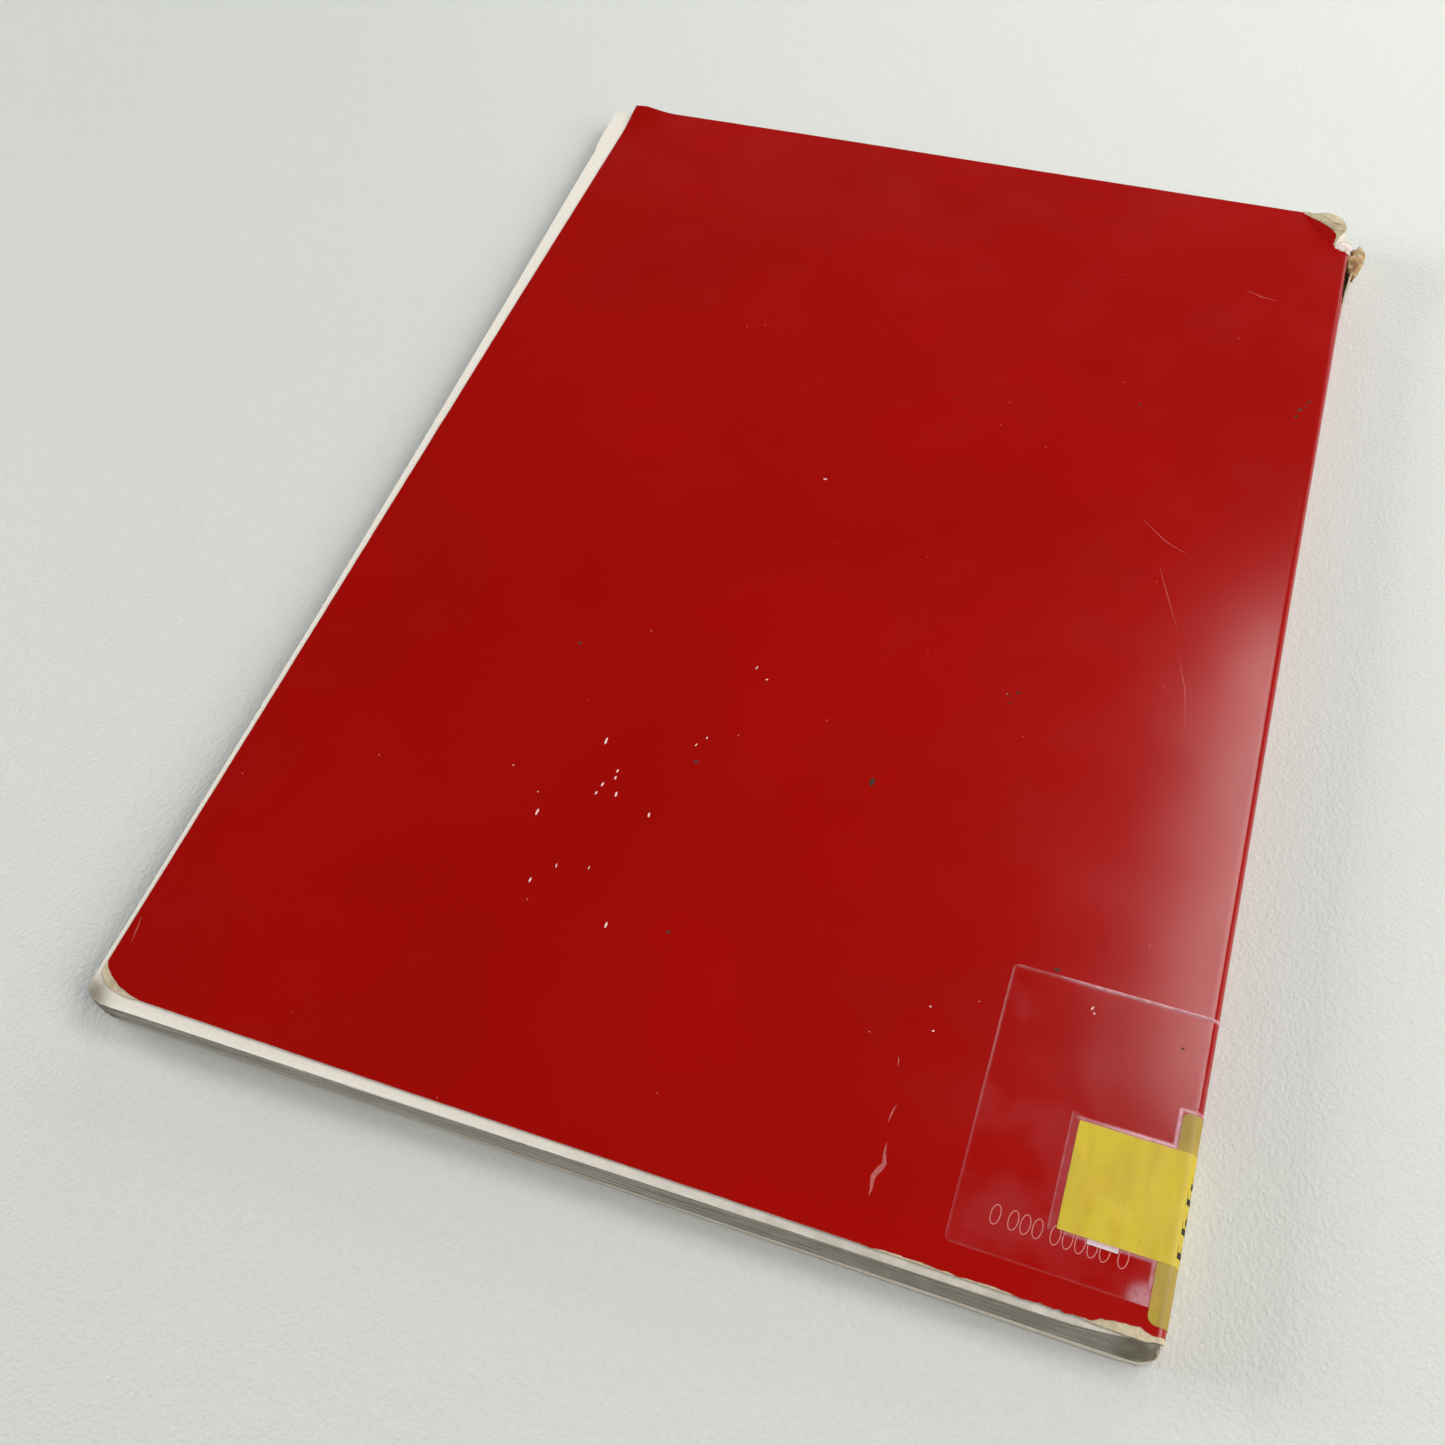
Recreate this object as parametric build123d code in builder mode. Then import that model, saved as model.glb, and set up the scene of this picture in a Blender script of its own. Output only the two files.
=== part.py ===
from build123d import *
import math
import os

# A thin perfect-bound softback book, closed, lying on its front cover.
# +X runs from the fore-edge to the spine, +Y from the tail to the head and +Z up through the pages.
# The origin is the bottom centre of the whole book. All sizes are in millimetres.

# Driving dimensions
cover_width = 207.0  # fore-edge to the outside of the spine
cover_height = 297.0  # an A4 sheet's long side
book_thickness = 7.0  # front cover's outer face to back cover's outer face
card_thickness = 0.35  # cover card, about 280 g/m2
laminate_thickness = 0.03  # gloss film on the outside of the card
section_count = 8
leaves_per_section = 8
air_gap = 0.0075  # between neighbouring leaves
adhesive_thickness = 0.4  # hot-melt glue at the tail of the spine
crease_gap = 0.1  # between a cover and the spine panel, where the card folds

# How far the pages have slipped and turned in their cover
fore_edge_slip = 0.9  # pages past the back cover at the tail corner, towards the fore-edge
tail_slip = 2.7  # pages past the back cover at the tail
lowest_turn = 0.15  # degrees, first section against the cover
highest_turn = 0.46  # degrees, last section against the cover

# Wear
worn_along_tail = 10.4  # of the back cover, from the fore-edge
worn_along_fore_edge = 5.2  # of the back cover, from the tail
worn_leaf_corner = 4.0  # of the leaves and the front cover, at the tail and fore-edge
torn_along_head = 14.2  # of the back cover, from the spine
torn_along_spine = 13.8  # of the back cover, from the head
spine_worn_at_tail = 3.0
spine_torn_at_head = 14.0

# Labels and tape. Heights up the book are from the back cover's tail edge.
paper_label_thickness = 0.08
tape_thickness = 0.04
label_to_crease = 0.3  # the labels' back and spine halves meet at the fold
label_to_spine_edge = 0.5
shelf_label_reach = 20.6  # across the back cover, from the spine
shelf_label_tail = 13.1
shelf_label_height = 19.8
old_label_reach = 3.6
old_label_tail = 2.8
old_label_height = 37.2
old_label_corner = 1.5
tape_reach = 38.3
tape_tail = 5.3
tape_height = 53.7
tape_corner = 3.0
tag_width = 5.3
tag_height = 8.0
tag_from_spine = 10.0
tag_tail = 11.8

# Derived sizes
cover_stack = card_thickness + laminate_thickness
leaf_pitch = (book_thickness - 2 * cover_stack) / (section_count * leaves_per_section)
leaf_thickness = leaf_pitch - air_gap
label_stack = 2 * paper_label_thickness + tape_thickness
fore_edge_overhang = fore_edge_slip + cover_height * math.sin(math.radians(highest_turn))
leaf_width = cover_width + fore_edge_slip - cover_stack - adhesive_thickness - air_gap

# Places, with the whole book centred on the origin
cover_left = (fore_edge_overhang - cover_width - label_stack) / 2
spine_face = cover_left + cover_width
cover_tail = (tail_slip - cover_height) / 2
cover_head = cover_tail + cover_height
page_left = cover_left - fore_edge_slip
page_tail = cover_tail - tail_slip
back_face = book_thickness
card_spine_face = spine_face - laminate_thickness
glue_face = spine_face - cover_stack


def turned_plane(z, degrees):
    """A level plane at height z with its corner where the pages turn, its X along their tail edge."""
    angle = math.radians(degrees)
    along_tail = (math.cos(angle), math.sin(angle), 0)
    return Plane(origin=(page_left, page_tail, z), x_dir=along_tail, z_dir=(0, 0, 1))


def plate_on_back(z):
    """A level plane with its corner at the spine and tail of the back cover."""
    return Plane(origin=(spine_face, cover_tail, z), x_dir=(1, 0, 0), z_dir=(0, 0, 1))


def plate_on_spine(x):
    """An upright plane on the spine: its X runs up the book and its Y through the thickness."""
    return Plane(origin=(x, cover_tail, 0), x_dir=(0, 1, 0), z_dir=(1, 0, 0))


def save(part, name):
    part.label = name
    export_step(part, f"parts/{name}.step")


os.makedirs("parts", exist_ok=True)

# Front cover: laminated card that the book lies on. Its film is the lowest face.
front_layers = (
    ("front_laminate", 0.0, laminate_thickness),
    ("front_cover", laminate_thickness, card_thickness),
)
for layer_name, bottom, layer_thickness in front_layers:
    with BuildPart() as front_layer:
        with BuildSketch(Plane.XY.offset(bottom)) as front_outline:
            with Locations((page_left, page_tail)):
                Rectangle(spine_face - page_left, cover_height, align=(Align.MIN, Align.MIN))
            tail_corner = front_outline.vertices().group_by(Axis.Y)[0].sort_by(Axis.X)[0]
            chamfer(tail_corner, length=worn_leaf_corner)
        extrude(amount=layer_thickness)
    save(front_layer.part, layer_name)

# Back cover: laminated card, its tail corner worn off and its head torn off at the spine.
back_layers = (
    ("back_cover", back_face - cover_stack, card_thickness),
    ("back_laminate", back_face - laminate_thickness, laminate_thickness),
)
for layer_name, bottom, layer_thickness in back_layers:
    with BuildPart() as back_layer:
        with BuildSketch(Plane.XY.offset(bottom)):
            with BuildLine():
                Polyline(
                    (cover_left, cover_tail + worn_along_fore_edge),
                    (cover_left + worn_along_tail, cover_tail),
                    (spine_face, cover_tail),
                    (spine_face, cover_head - torn_along_spine),
                    (spine_face - torn_along_head, cover_head),
                    (cover_left, cover_head),
                    close=True,
                )
            make_face()
        extrude(amount=layer_thickness)
    save(back_layer.part, layer_name)

# Spine: the strip of the same card between the two creases, and its film.
spine_low = cover_stack + crease_gap
spine_high = back_face - cover_stack - crease_gap
spine_tail = spine_worn_at_tail
spine_head = cover_height - spine_torn_at_head
spine_layers = (
    ("spine_panel", glue_face, card_thickness),
    ("spine_laminate", card_spine_face, laminate_thickness),
)
for layer_name, inner_face, layer_thickness in spine_layers:
    with BuildPart() as spine_layer:
        with BuildSketch(plate_on_spine(inner_face)):
            with Locations((spine_tail, spine_low)):
                Rectangle(spine_head - spine_tail, spine_high - spine_low, align=(Align.MIN, Align.MIN))
        extrude(amount=layer_thickness)
    save(spine_layer.part, layer_name)

# Adhesive: a strip of hot-melt glue between the leaves and the spine, thicker where the pages turned away.
glue_inner = glue_face - adhesive_thickness
glue_length = cover_height - tail_slip
turn_at_head = glue_length * math.tan(math.radians(lowest_turn))
with BuildPart() as spine_adhesive:
    with BuildSketch(Plane.XY.offset(spine_low)):
        with BuildLine():
            Polyline(
                (glue_face, cover_tail),
                (glue_face, cover_tail + glue_length),
                (glue_inner - turn_at_head, cover_tail + glue_length),
                (glue_inner, cover_tail),
                close=True,
            )
        make_face()
    extrude(amount=spine_high - spine_low)
save(spine_adhesive.part, "spine_adhesive")

# Text block: sections of loose leaves, each leaf its own solid, each section turned a little more.
for section in range(section_count):
    share = section / (section_count - 1)
    section_turn = lowest_turn + share * (highest_turn - lowest_turn)
    with BuildPart() as leaf_section:
        for leaf in range(leaves_per_section):
            height = cover_stack + (section * leaves_per_section + leaf) * leaf_pitch + air_gap / 2
            with BuildSketch(turned_plane(height, section_turn)) as leaf_outline:
                Rectangle(leaf_width, cover_height, align=(Align.MIN, Align.MIN))
                tail_corner = leaf_outline.vertices().sort_by(Axis.Y)[0]
                fillet(tail_corner, radius=worn_leaf_corner)
            extrude(amount=leaf_thickness)
    save(leaf_section.part, f"leaf_section_{section + 1}")

# Labels and tape that lie over the fold: a half on the back cover and a half on the spine.
# Each is its name, reach across the back cover, tail, height and corner radius. They lie on one
# another in this order.
wrapped = (
    ("old_label", old_label_reach, old_label_tail, old_label_height, old_label_corner),
    ("shelf_label", shelf_label_reach, shelf_label_tail, shelf_label_height, 0.0),
    ("tape", tape_reach, tape_tail, tape_height, tape_corner),
)
for layer, (piece, reach, tail, height, corner) in enumerate(wrapped):
    lift = layer * paper_label_thickness
    piece_thickness = tape_thickness if piece == "tape" else paper_label_thickness
    with BuildPart() as back_half:
        with BuildSketch(plate_on_back(back_face + lift)) as half_outline:
            with Locations((-reach, tail)):
                Rectangle(reach - label_to_crease, height, align=(Align.MIN, Align.MIN))
            if corner:
                fillet(half_outline.vertices().group_by(Axis.X)[0], radius=corner)
        extrude(amount=piece_thickness)
    save(back_half.part, f"{piece}_back")
    with BuildPart() as spine_half:
        with BuildSketch(plate_on_spine(spine_face + lift)):
            with Locations((tail, label_to_spine_edge)):
                Rectangle(height, back_face - 2 * label_to_spine_edge, align=(Align.MIN, Align.MIN))
        extrude(amount=piece_thickness)
    save(spine_half.part, f"{piece}_spine")

# Price tag: a slip of white paper that shows under the shelf label's lower edge.
with BuildPart() as price_tag:
    with BuildSketch(plate_on_back(back_face)):
        with Locations((-tag_from_spine - tag_width, tag_tail)):
            Rectangle(tag_width, tag_height, align=(Align.MIN, Align.MIN))
    extrude(amount=paper_label_thickness)
save(price_tag.part, "price_tag")
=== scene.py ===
import math

import bmesh
import bpy
import numpy as np
from bpy.props import FloatProperty, FloatVectorProperty, IntProperty, PointerProperty
from mathutils import Matrix, Vector, noise
from mathutils.geometry import delaunay_2d_cdt


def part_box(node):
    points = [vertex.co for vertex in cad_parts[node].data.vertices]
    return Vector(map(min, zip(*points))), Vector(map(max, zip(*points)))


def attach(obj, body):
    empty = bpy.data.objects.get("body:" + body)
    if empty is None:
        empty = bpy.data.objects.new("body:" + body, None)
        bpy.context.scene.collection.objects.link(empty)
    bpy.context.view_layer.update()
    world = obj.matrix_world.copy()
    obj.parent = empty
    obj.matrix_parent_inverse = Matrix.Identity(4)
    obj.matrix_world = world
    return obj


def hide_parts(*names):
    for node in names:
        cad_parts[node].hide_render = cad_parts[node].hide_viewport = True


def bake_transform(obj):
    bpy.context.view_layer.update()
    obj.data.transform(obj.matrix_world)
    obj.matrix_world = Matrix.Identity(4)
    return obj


bl_info = {
    "name": "Worn softback book",
    "version": (1, 0, 0),
    "blender": (4, 5, 0),
    "location": "3D View > Sidebar > Softback",
    "description": "Builds the looks of a worn, perfect-bound softback book round its CAD frame",
    "category": "Object",
}

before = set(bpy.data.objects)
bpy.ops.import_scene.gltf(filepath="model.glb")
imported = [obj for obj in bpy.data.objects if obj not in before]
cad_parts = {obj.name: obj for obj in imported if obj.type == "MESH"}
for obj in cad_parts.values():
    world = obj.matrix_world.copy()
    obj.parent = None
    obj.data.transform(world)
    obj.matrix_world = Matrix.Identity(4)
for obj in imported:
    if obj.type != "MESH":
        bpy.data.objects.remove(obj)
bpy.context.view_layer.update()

# Places read from the frame. Book coordinates are in millimetres: X from the back cover's
# fore-edge to the spine, Y from its tail edge to its head, Z up from the table.
MM = 0.001
COVER_LOW, COVER_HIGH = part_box("back_laminate")
SPINE_X = (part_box("spine_laminate")[1].x - COVER_LOW.x) / MM
COVER_HEIGHT = (COVER_HIGH.y - COVER_LOW.y) / MM
THICK = COVER_HIGH.z / MM
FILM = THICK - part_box("back_cover")[1].z / MM
BOARD = (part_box("back_cover")[1].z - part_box("back_cover")[0].z) / MM
PAGE_LEFT = (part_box("front_cover")[0].x - COVER_LOW.x) / MM
PAGE_TAIL = (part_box("front_cover")[0].y - COVER_LOW.y) / MM
LEAF_WIDTH = (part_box("leaf_section_1")[1].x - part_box("leaf_section_1")[0].x) / MM
SECTIONS = 8
LEAVES = 8
LEAF_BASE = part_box("leaf_section_1")[0].z / MM
LEAF_PITCH = (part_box("leaf_section_8")[1].z / MM - LEAF_BASE) / (SECTIONS * LEAVES)
LEAF_GAP = 0.006  # air between two leaves


# ---------------------------------------------------------------- settings


class SoftbackSizes(bpy.types.PropertyGroup):
    """Sizes of the book's worn pieces."""

    back_shoulder: FloatProperty(
        name="Back shoulder", description="Radius of the fold between the spine and the back cover",
        default=1.8 * MM, min=0.5 * MM, max=2.2 * MM, unit="LENGTH")
    front_shoulder: FloatProperty(
        name="Front shoulder", description="Radius of the fold between the spine and the front cover",
        default=1.2 * MM, min=0.5 * MM, max=2.2 * MM, unit="LENGTH")
    flap_rise: FloatProperty(
        name="Flap angle", description="How steeply the torn corner of the back cover bends up",
        default=math.radians(43), min=0, max=math.radians(70), subtype="ANGLE")
    spine_peel: FloatProperty(
        name="Spine peel", description="How far the torn head of the spine leans out",
        default=2.6 * MM, min=0, max=4 * MM, unit="LENGTH")
    uneven_leaves: FloatProperty(
        name="Uneven leaves", description="How far the edges of single leaves wander",
        default=0.09 * MM, min=0, max=0.5 * MM, unit="LENGTH")
    slipped_leaves: FloatProperty(
        name="Slipped leaves", description="How far whole leaves have slipped out of line",
        default=0.04 * MM, min=0, max=0.3 * MM, unit="LENGTH")
    leaf_seed: IntProperty(
        name="Leaf seed", description="Picks which leaves stand out", default=7, min=0)
    fibre_seed: IntProperty(
        name="Fibre seed", description="Picks how the torn fibres lie", default=11, min=0)


def hex_colour(code):
    """An sRGB hex colour as linear red, green, blue and alpha."""
    parts = [int(code[i:i + 2], 16) / 255 for i in (1, 3, 5)]
    return (*(p / 12.92 if p <= 0.04045 else ((p + 0.055) / 1.055) ** 2.4 for p in parts), 1.0)


def colour_property(name, description, code):
    """A colour that the user can change, given first as a hex code."""
    return FloatVectorProperty(
        name=name, description=description, default=hex_colour(code), size=4, min=0, max=1,
        subtype="COLOR")


class SoftbackColours(bpy.types.PropertyGroup):
    """Main colours of the book."""

    print_red: colour_property("Print", "Red printed on the cover board", "#9F0803")
    board: colour_property("Board", "Core of the cover board where the print has worn off", "#CDBE9F")
    page: colour_property("Page", "Face of an uncoated page", "#EAE4D8")
    # Dark partly from grime and partly as painted shade, as the cut faces lie in shade.
    page_edge: colour_property("Page edge", "Trimmed edges of the pages", "#544F44")
    glue: colour_property("Glue", "Hot-melt glue on the spine", "#A07E4C")
    shelf_label: colour_property("Shelf label", "Yellow label paper", "#CDB62B")
    old_label: colour_property("Old label", "Older, browned label paper", "#AE9433")
    table: colour_property("Table", "Pale table top", "#D9DBD6")


class SoftbackStage(bpy.types.PropertyGroup):
    """Camera and light."""

    lens: FloatProperty(
        name="Lens", description="Focal length on a 36 mm wide sensor", default=36.12, min=10, max=200)
    camera_from_corner: FloatVectorProperty(
        name="Camera place", description="Camera, from the back cover's tail and fore-edge corner",
        default=(0.16829, -0.06348, 0.25607), subtype="TRANSLATION", unit="LENGTH")
    look_from_corner: FloatVectorProperty(
        name="Look at", description="Point on the back cover that the camera looks at",
        default=(0.09764, 0.09462, 0.0), subtype="TRANSLATION", unit="LENGTH")
    roll: FloatProperty(
        name="Roll", description="Camera roll", default=math.radians(-5.87), subtype="ANGLE")
    key_strength: FloatProperty(
        name="Key light", description="Brightness of the soft panel over the spine side",
        default=5.4, min=0)


# ---------------------------------------------------------------- helpers


def at(x, y, z):
    """A point in book coordinates, in metres in the frame."""
    return Vector((COVER_LOW.x + x * MM, COVER_LOW.y + y * MM, z * MM))


def smooth(value, low, high):
    """0 below low, 1 above high and an easy curve between."""
    t = min(1.0, max(0.0, (value - low) / (high - low)))
    return t * t * (3 - 2 * t)


def between(value, knots):
    """Straight-line reading of a short list of (place, amount) pairs."""
    return float(np.interp(value, [k[0] for k in knots], [k[1] for k in knots]))


def rough(x, y, z=0.0):
    """Smooth noise from -1 to 1."""
    return noise.noise(Vector((x, y, z)))


def graded(low, high, fine, coarse):
    """Places from low to high, close together at both ends and further apart between."""
    found = [low]
    while found[-1] < high:
        gap = max(0.0, min(found[-1] - low, high - found[-1]))
        found.append(found[-1] + min(coarse, fine + 0.35 * gap))
    return found[:-1] + [high]


def ragged(path, spacing, depth, grain, seed):
    """Points along a path, moved sideways by up to about depth, as a worn or torn edge is."""
    found = []
    for (ax, ay), (bx, by) in zip(path, path[1:]):
        length = math.hypot(bx - ax, by - ay)
        steps = max(1, round(length / spacing))
        nx, ny = (by - ay) / max(length, 1e-9), (ax - bx) / max(length, 1e-9)
        for i in range(steps):
            t = i / steps
            x, y = ax + (bx - ax) * t, ay + (by - ay) * t
            wave, ripple = rough(x / grain, y / grain, seed), rough(3 * x / grain, 3 * y / grain, seed + 5)
            push = depth * (wave + 0.6 * ripple)
            found.append((x + nx * push, y + ny * push))
    return found


def inside_outline(points, outline, gap=0.0):
    """For each point, whether it lies inside the outline and more than gap away from it."""
    p = np.array(points, float)
    a = np.array(outline, float)
    b = np.roll(a, -1, axis=0)
    d = b - a
    rise = np.where(np.abs(d[:, 1]) < 1e-12, 1e-12, d[:, 1])
    found = []
    for chunk in np.array_split(p, max(1, len(p) // 400)):
        rel = chunk[:, None, :] - a[None]
        t = np.clip((rel * d).sum(2) / np.maximum((d * d).sum(1), 1e-12), 0, 1)
        near = np.sqrt(((rel - t[..., None] * d) ** 2).sum(2)).min(1)
        x, y = chunk[:, 0:1], chunk[:, 1:2]
        spans = (a[:, 1] > y) != (b[:, 1] > y)
        crossing = spans & (x < a[:, 0] + d[:, 0] * (y - a[:, 1]) / rise)
        found += list((crossing.sum(1) % 2 == 1) & (near >= gap))
    return found


def new_object(name, mesh):
    """A new object in the scene with the given mesh."""
    made = bpy.data.objects.new(name, mesh)
    bpy.context.scene.collection.objects.link(made)
    return made


def without_slivers(points, faces, outline, least=0.03):
    """Leaves out triangles that fill a dent of the outline, and thin ones along the rim, which
    would spoil the shading beside it."""
    kept = {tuple(f) for f in faces}
    spanning = [f for f in kept if max(f) < len(outline)]
    middles = [sum((points[i] for i in f), Vector((0, 0))) / 3 for f in spanning]
    kept -= {f for f, inside in zip(spanning, inside_outline(middles, outline)) if not inside}
    while True:
        sides = {(f[i], f[(i + 1) % 3]) for f in kept for i in range(3)}
        thin = set()
        for face in kept:
            if max(face) >= len(outline):
                continue
            if sum((face[(i + 1) % 3], face[i]) not in sides for i in range(3)) < 2:
                continue
            a, b, c = (points[i] for i in face)
            longest = max((b - a).length, (c - b).length, (a - c).length)
            if abs((b - a).cross(c - a)) / longest < least:
                thin.add(face)
        if not thin:
            return [list(f) for f in sorted(kept)]
        kept -= thin


def plate(name, outline, inner, place, low, high, material, marks=None, gap=0.15):
    """A closed sheet. Its flat outline and inner points are put in the book by place(x, y, height),
    once at the high face and once at the low one. marks gives named values at the flat points."""
    inner = [p for p, inside in zip(inner, inside_outline(inner, outline, gap)) if inside]
    flat = [Vector(p) for p in list(outline) + inner]
    inside_only, weld = 1, 1e-5
    verts, _, faces, *_ = delaunay_2d_cdt(flat, [], [list(range(len(outline)))], inside_only, weld, False)
    faces = without_slivers(verts, faces, outline)
    used = sorted({i for f in faces for i in f})
    number = {old: new for new, old in enumerate(used)}
    verts = [verts[i] for i in used]
    faces = [[number[i] for i in f] for f in faces]
    count = len(verts)
    sides = {(f[i], f[(i + 1) % len(f)]) for f in faces for i in range(len(f))}
    rim = sorted(s for s in sides if (s[1], s[0]) not in sides)
    points = [at(*place(v.x, v.y, high)) for v in verts] + [at(*place(v.x, v.y, low)) for v in verts]
    solid = faces + [[i + count for i in reversed(f)] for f in faces]
    solid += [[b, a, a + count, b + count] for a, b in rim]
    mesh = bpy.data.meshes.new(name)
    mesh.from_pydata(points, [], solid)
    walls = mesh.attributes.new("cut_edge", "FLOAT", "FACE")
    walls.data.foreach_set("value", [0.0] * (2 * len(faces)) + [1.0] * len(rim))
    for key, value in (marks or {}).items():
        held = [value(v.x, v.y) for v in verts]
        mesh.attributes.new(key, "FLOAT", "POINT").data.foreach_set("value", held + held)
    mesh.polygons.foreach_set("use_smooth", [True] * (2 * len(faces)) + [False] * len(rim))
    mesh.materials.append(material)
    mesh.update()
    # Sharp rims, or the cut walls would tilt the shading of the flat faces beside them.
    crisp = {key for wall in mesh.polygons[2 * len(faces):] for key in wall.edge_keys}
    for edge in mesh.edges:
        edge.use_edge_sharp = edge.key in crisp
    return new_object(name, mesh)


def grid_points(across, up):
    """Every pairing of the places across and up."""
    return [(x, y) for x in across for y in up]


def strokes(name, paths, place, low, high, material):
    """Flat drawn strokes as closed ribbons. Each path is (points, half widths, closed)."""
    points, faces = [], []
    for path, halves, closed in paths:
        start, count = len(points), len(path)
        for i, (x, y) in enumerate(path):
            bx, by = path[(i + 1) % count] if closed or i + 1 < count else path[i]
            ax, ay = path[i - 1] if closed or i else path[i]
            length = max(math.hypot(bx - ax, by - ay), 1e-9)
            nx, ny = -(by - ay) / length * halves[i], (bx - ax) / length * halves[i]
            for side, height in ((1, high), (-1, high), (-1, low), (1, low)):
                points.append(at(*place(x + nx * side, y + ny * side, height)))
        for i in range(count if closed else count - 1):
            a, b = start + 4 * i, start + 4 * ((i + 1) % count)
            faces += [[a + k, a + (k + 1) % 4, b + (k + 1) % 4, b + k] for k in range(4)]
        if not closed:
            last = start + 4 * (count - 1)
            faces += [[start + 3, start + 2, start + 1, start], [last, last + 1, last + 2, last + 3]]
    mesh = bpy.data.meshes.new(name)
    mesh.from_pydata(points, [], faces)
    mesh.materials.append(material)
    mesh.update()
    return new_object(name, mesh)


def add(tree, kind, settings=None, inputs=None):
    """Adds a node to a tree, with its settings and with a value or a link for each input."""
    made = tree.nodes.new(kind)
    for key, value in (settings or {}).items():
        setattr(made, key, value)
    for key, value in (inputs or {}).items():
        if isinstance(value, bpy.types.NodeSocket):
            tree.links.new(value, made.inputs[key])
        else:
            made.inputs[key].default_value = value
    return made


def new_tree(name, sockets):
    """An empty geometry node tree with one geometry output and the named inputs."""
    tree = bpy.data.node_groups.new(name, "GeometryNodeTree")
    tree.interface.new_socket("Geometry", in_out="OUTPUT", socket_type="NodeSocketGeometry")
    for label, kind in sockets:
        tree.interface.new_socket(label, in_out="INPUT", socket_type=kind)
    return tree


def grow(name, tree, values):
    """Runs a geometry node tree on a carrier and returns the result as a plain mesh object."""
    carrier = new_object(name + "_carrier", bpy.data.meshes.new(name + "_carrier"))
    modifier = carrier.modifiers.new("grow", "NODES")
    modifier.node_group = tree
    for item in tree.interface.items_tree:
        if item.in_out == "INPUT" and item.name in values:
            modifier[item.identifier] = values[item.name]
    depsgraph = bpy.context.evaluated_depsgraph_get()
    depsgraph.update()
    mesh = bpy.data.meshes.new_from_object(
        carrier.evaluated_get(depsgraph), preserve_all_data_layers=True, depsgraph=depsgraph)
    if not mesh.vertices:
        raise RuntimeError(f"{name}: the node tree made nothing")
    carrier.modifiers.clear()
    bpy.data.objects.remove(carrier)
    mesh.name = name
    return new_object(name, mesh)


# ---------------------------------------------------------------- surfaces of the book

FLAP_ROOT = (202.2, 284.9)
FLAP_ALONG = (-0.621, 0.783)
FLAP_OUT = (0.783, 0.621)
FLAP_FLAT = 2.3  # how far the flap runs straight from its crease
FLAP_CURL, FLAP_CURL_RUN = math.radians(38), 5.6  # how far below level it then curls, and over what run


def flap(s, d):
    """A flat point on the torn corner: s along its crease from the root and d past the crease."""
    return (FLAP_ROOT[0] + s * FLAP_ALONG[0] + d * FLAP_OUT[0],
            FLAP_ROOT[1] + s * FLAP_ALONG[1] + d * FLAP_OUT[1])


def swell(x, y):
    """How far the back cover bulges off the pages, never below them."""
    x = min(x, SPINE_X)
    slow = 0.5 + 0.5 * rough(x / 46, y / 61, 1.5)
    quick = 0.5 + 0.5 * rough(x / 13, y / 17, 4.0)
    gutter = smooth(x, 190, 203) * (0.5 + 0.5 * rough(x / 9, y / 14, 8.0))
    corner = 1.35 * smooth(14 - math.hypot(x, y - COVER_HEIGHT), 0, 14) ** 1.5
    return 0.10 * slow + 0.022 * quick + 0.035 * gutter + corner


def on_back(x, y, h):
    """h above the back cover's film. Past the shoulder, x runs on down the spine."""
    radius = bpy.context.scene.softback_sizes.back_shoulder / MM
    bend = SPINE_X - radius
    h += swell(x, y)
    px, py = x - FLAP_ROOT[0], y - FLAP_ROOT[1]
    s = px * FLAP_ALONG[0] + py * FLAP_ALONG[1]
    d = px * FLAP_OUT[0] + py * FLAP_OUT[1]
    if d > 0 and s > -0.6:
        share = smooth(s, -0.6, 0.8)
        rise = bpy.context.scene.softback_sizes.flap_rise * share
        turn = (rise + FLAP_CURL * share) / FLAP_CURL_RUN
        straight = min(d, FLAP_FLAT)
        angle, run, lift = rise, straight * math.cos(rise), straight * math.sin(rise)
        if d > FLAP_FLAT and turn > 1e-6:
            angle = rise - turn * (d - FLAP_FLAT)
            run += (math.sin(rise) - math.sin(angle)) / turn
            lift += (math.cos(angle) - math.cos(rise)) / turn
        elif d > FLAP_FLAT:
            run += d - FLAP_FLAT
        run -= h * math.sin(angle)
        return (x + (run - d) * FLAP_OUT[0], y + (run - d) * FLAP_OUT[1],
                THICK + lift + h * math.cos(angle))
    if x <= bend:
        return x, y, THICK + h
    angle = (x - bend) / radius
    if angle < math.pi / 2:
        return (bend + (radius + h) * math.sin(angle), y, THICK - radius + (radius + h) * math.cos(angle))
    return SPINE_X + h, y, THICK - radius - (x - bend - radius * math.pi / 2)


def back_run(z):
    """The flat X at which on_back comes down the spine to height z."""
    radius = bpy.context.scene.softback_sizes.back_shoulder / MM
    return SPINE_X - radius + radius * math.pi / 2 + (THICK - radius - z)


def on_front(x, y, h):
    """h outside the front cover's film, which faces down. Past the shoulder, x runs up the spine."""
    radius = bpy.context.scene.softback_sizes.front_shoulder / MM
    bend = SPINE_X - radius
    if x <= bend:
        return x, y, -h
    angle = (x - bend) / radius
    if angle < math.pi / 2:
        return bend + (radius + h) * math.sin(angle), y, radius - (radius + h) * math.cos(angle)
    return SPINE_X + h, y, radius + (x - bend - radius * math.pi / 2)


def front_run(z):
    """The flat X at which on_front comes up the spine to height z."""
    radius = bpy.context.scene.softback_sizes.front_shoulder / MM
    return SPINE_X - radius + radius * math.pi / 2 + (z - radius)


# Share of the spine's peel along it, as (Y, share)
SPINE_PEEL = ((256, 0), (262, 0.08), (268, 0.17), (274, 0.36), (279, 0.75), (283, 1.0), (290, 0.92))


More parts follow.
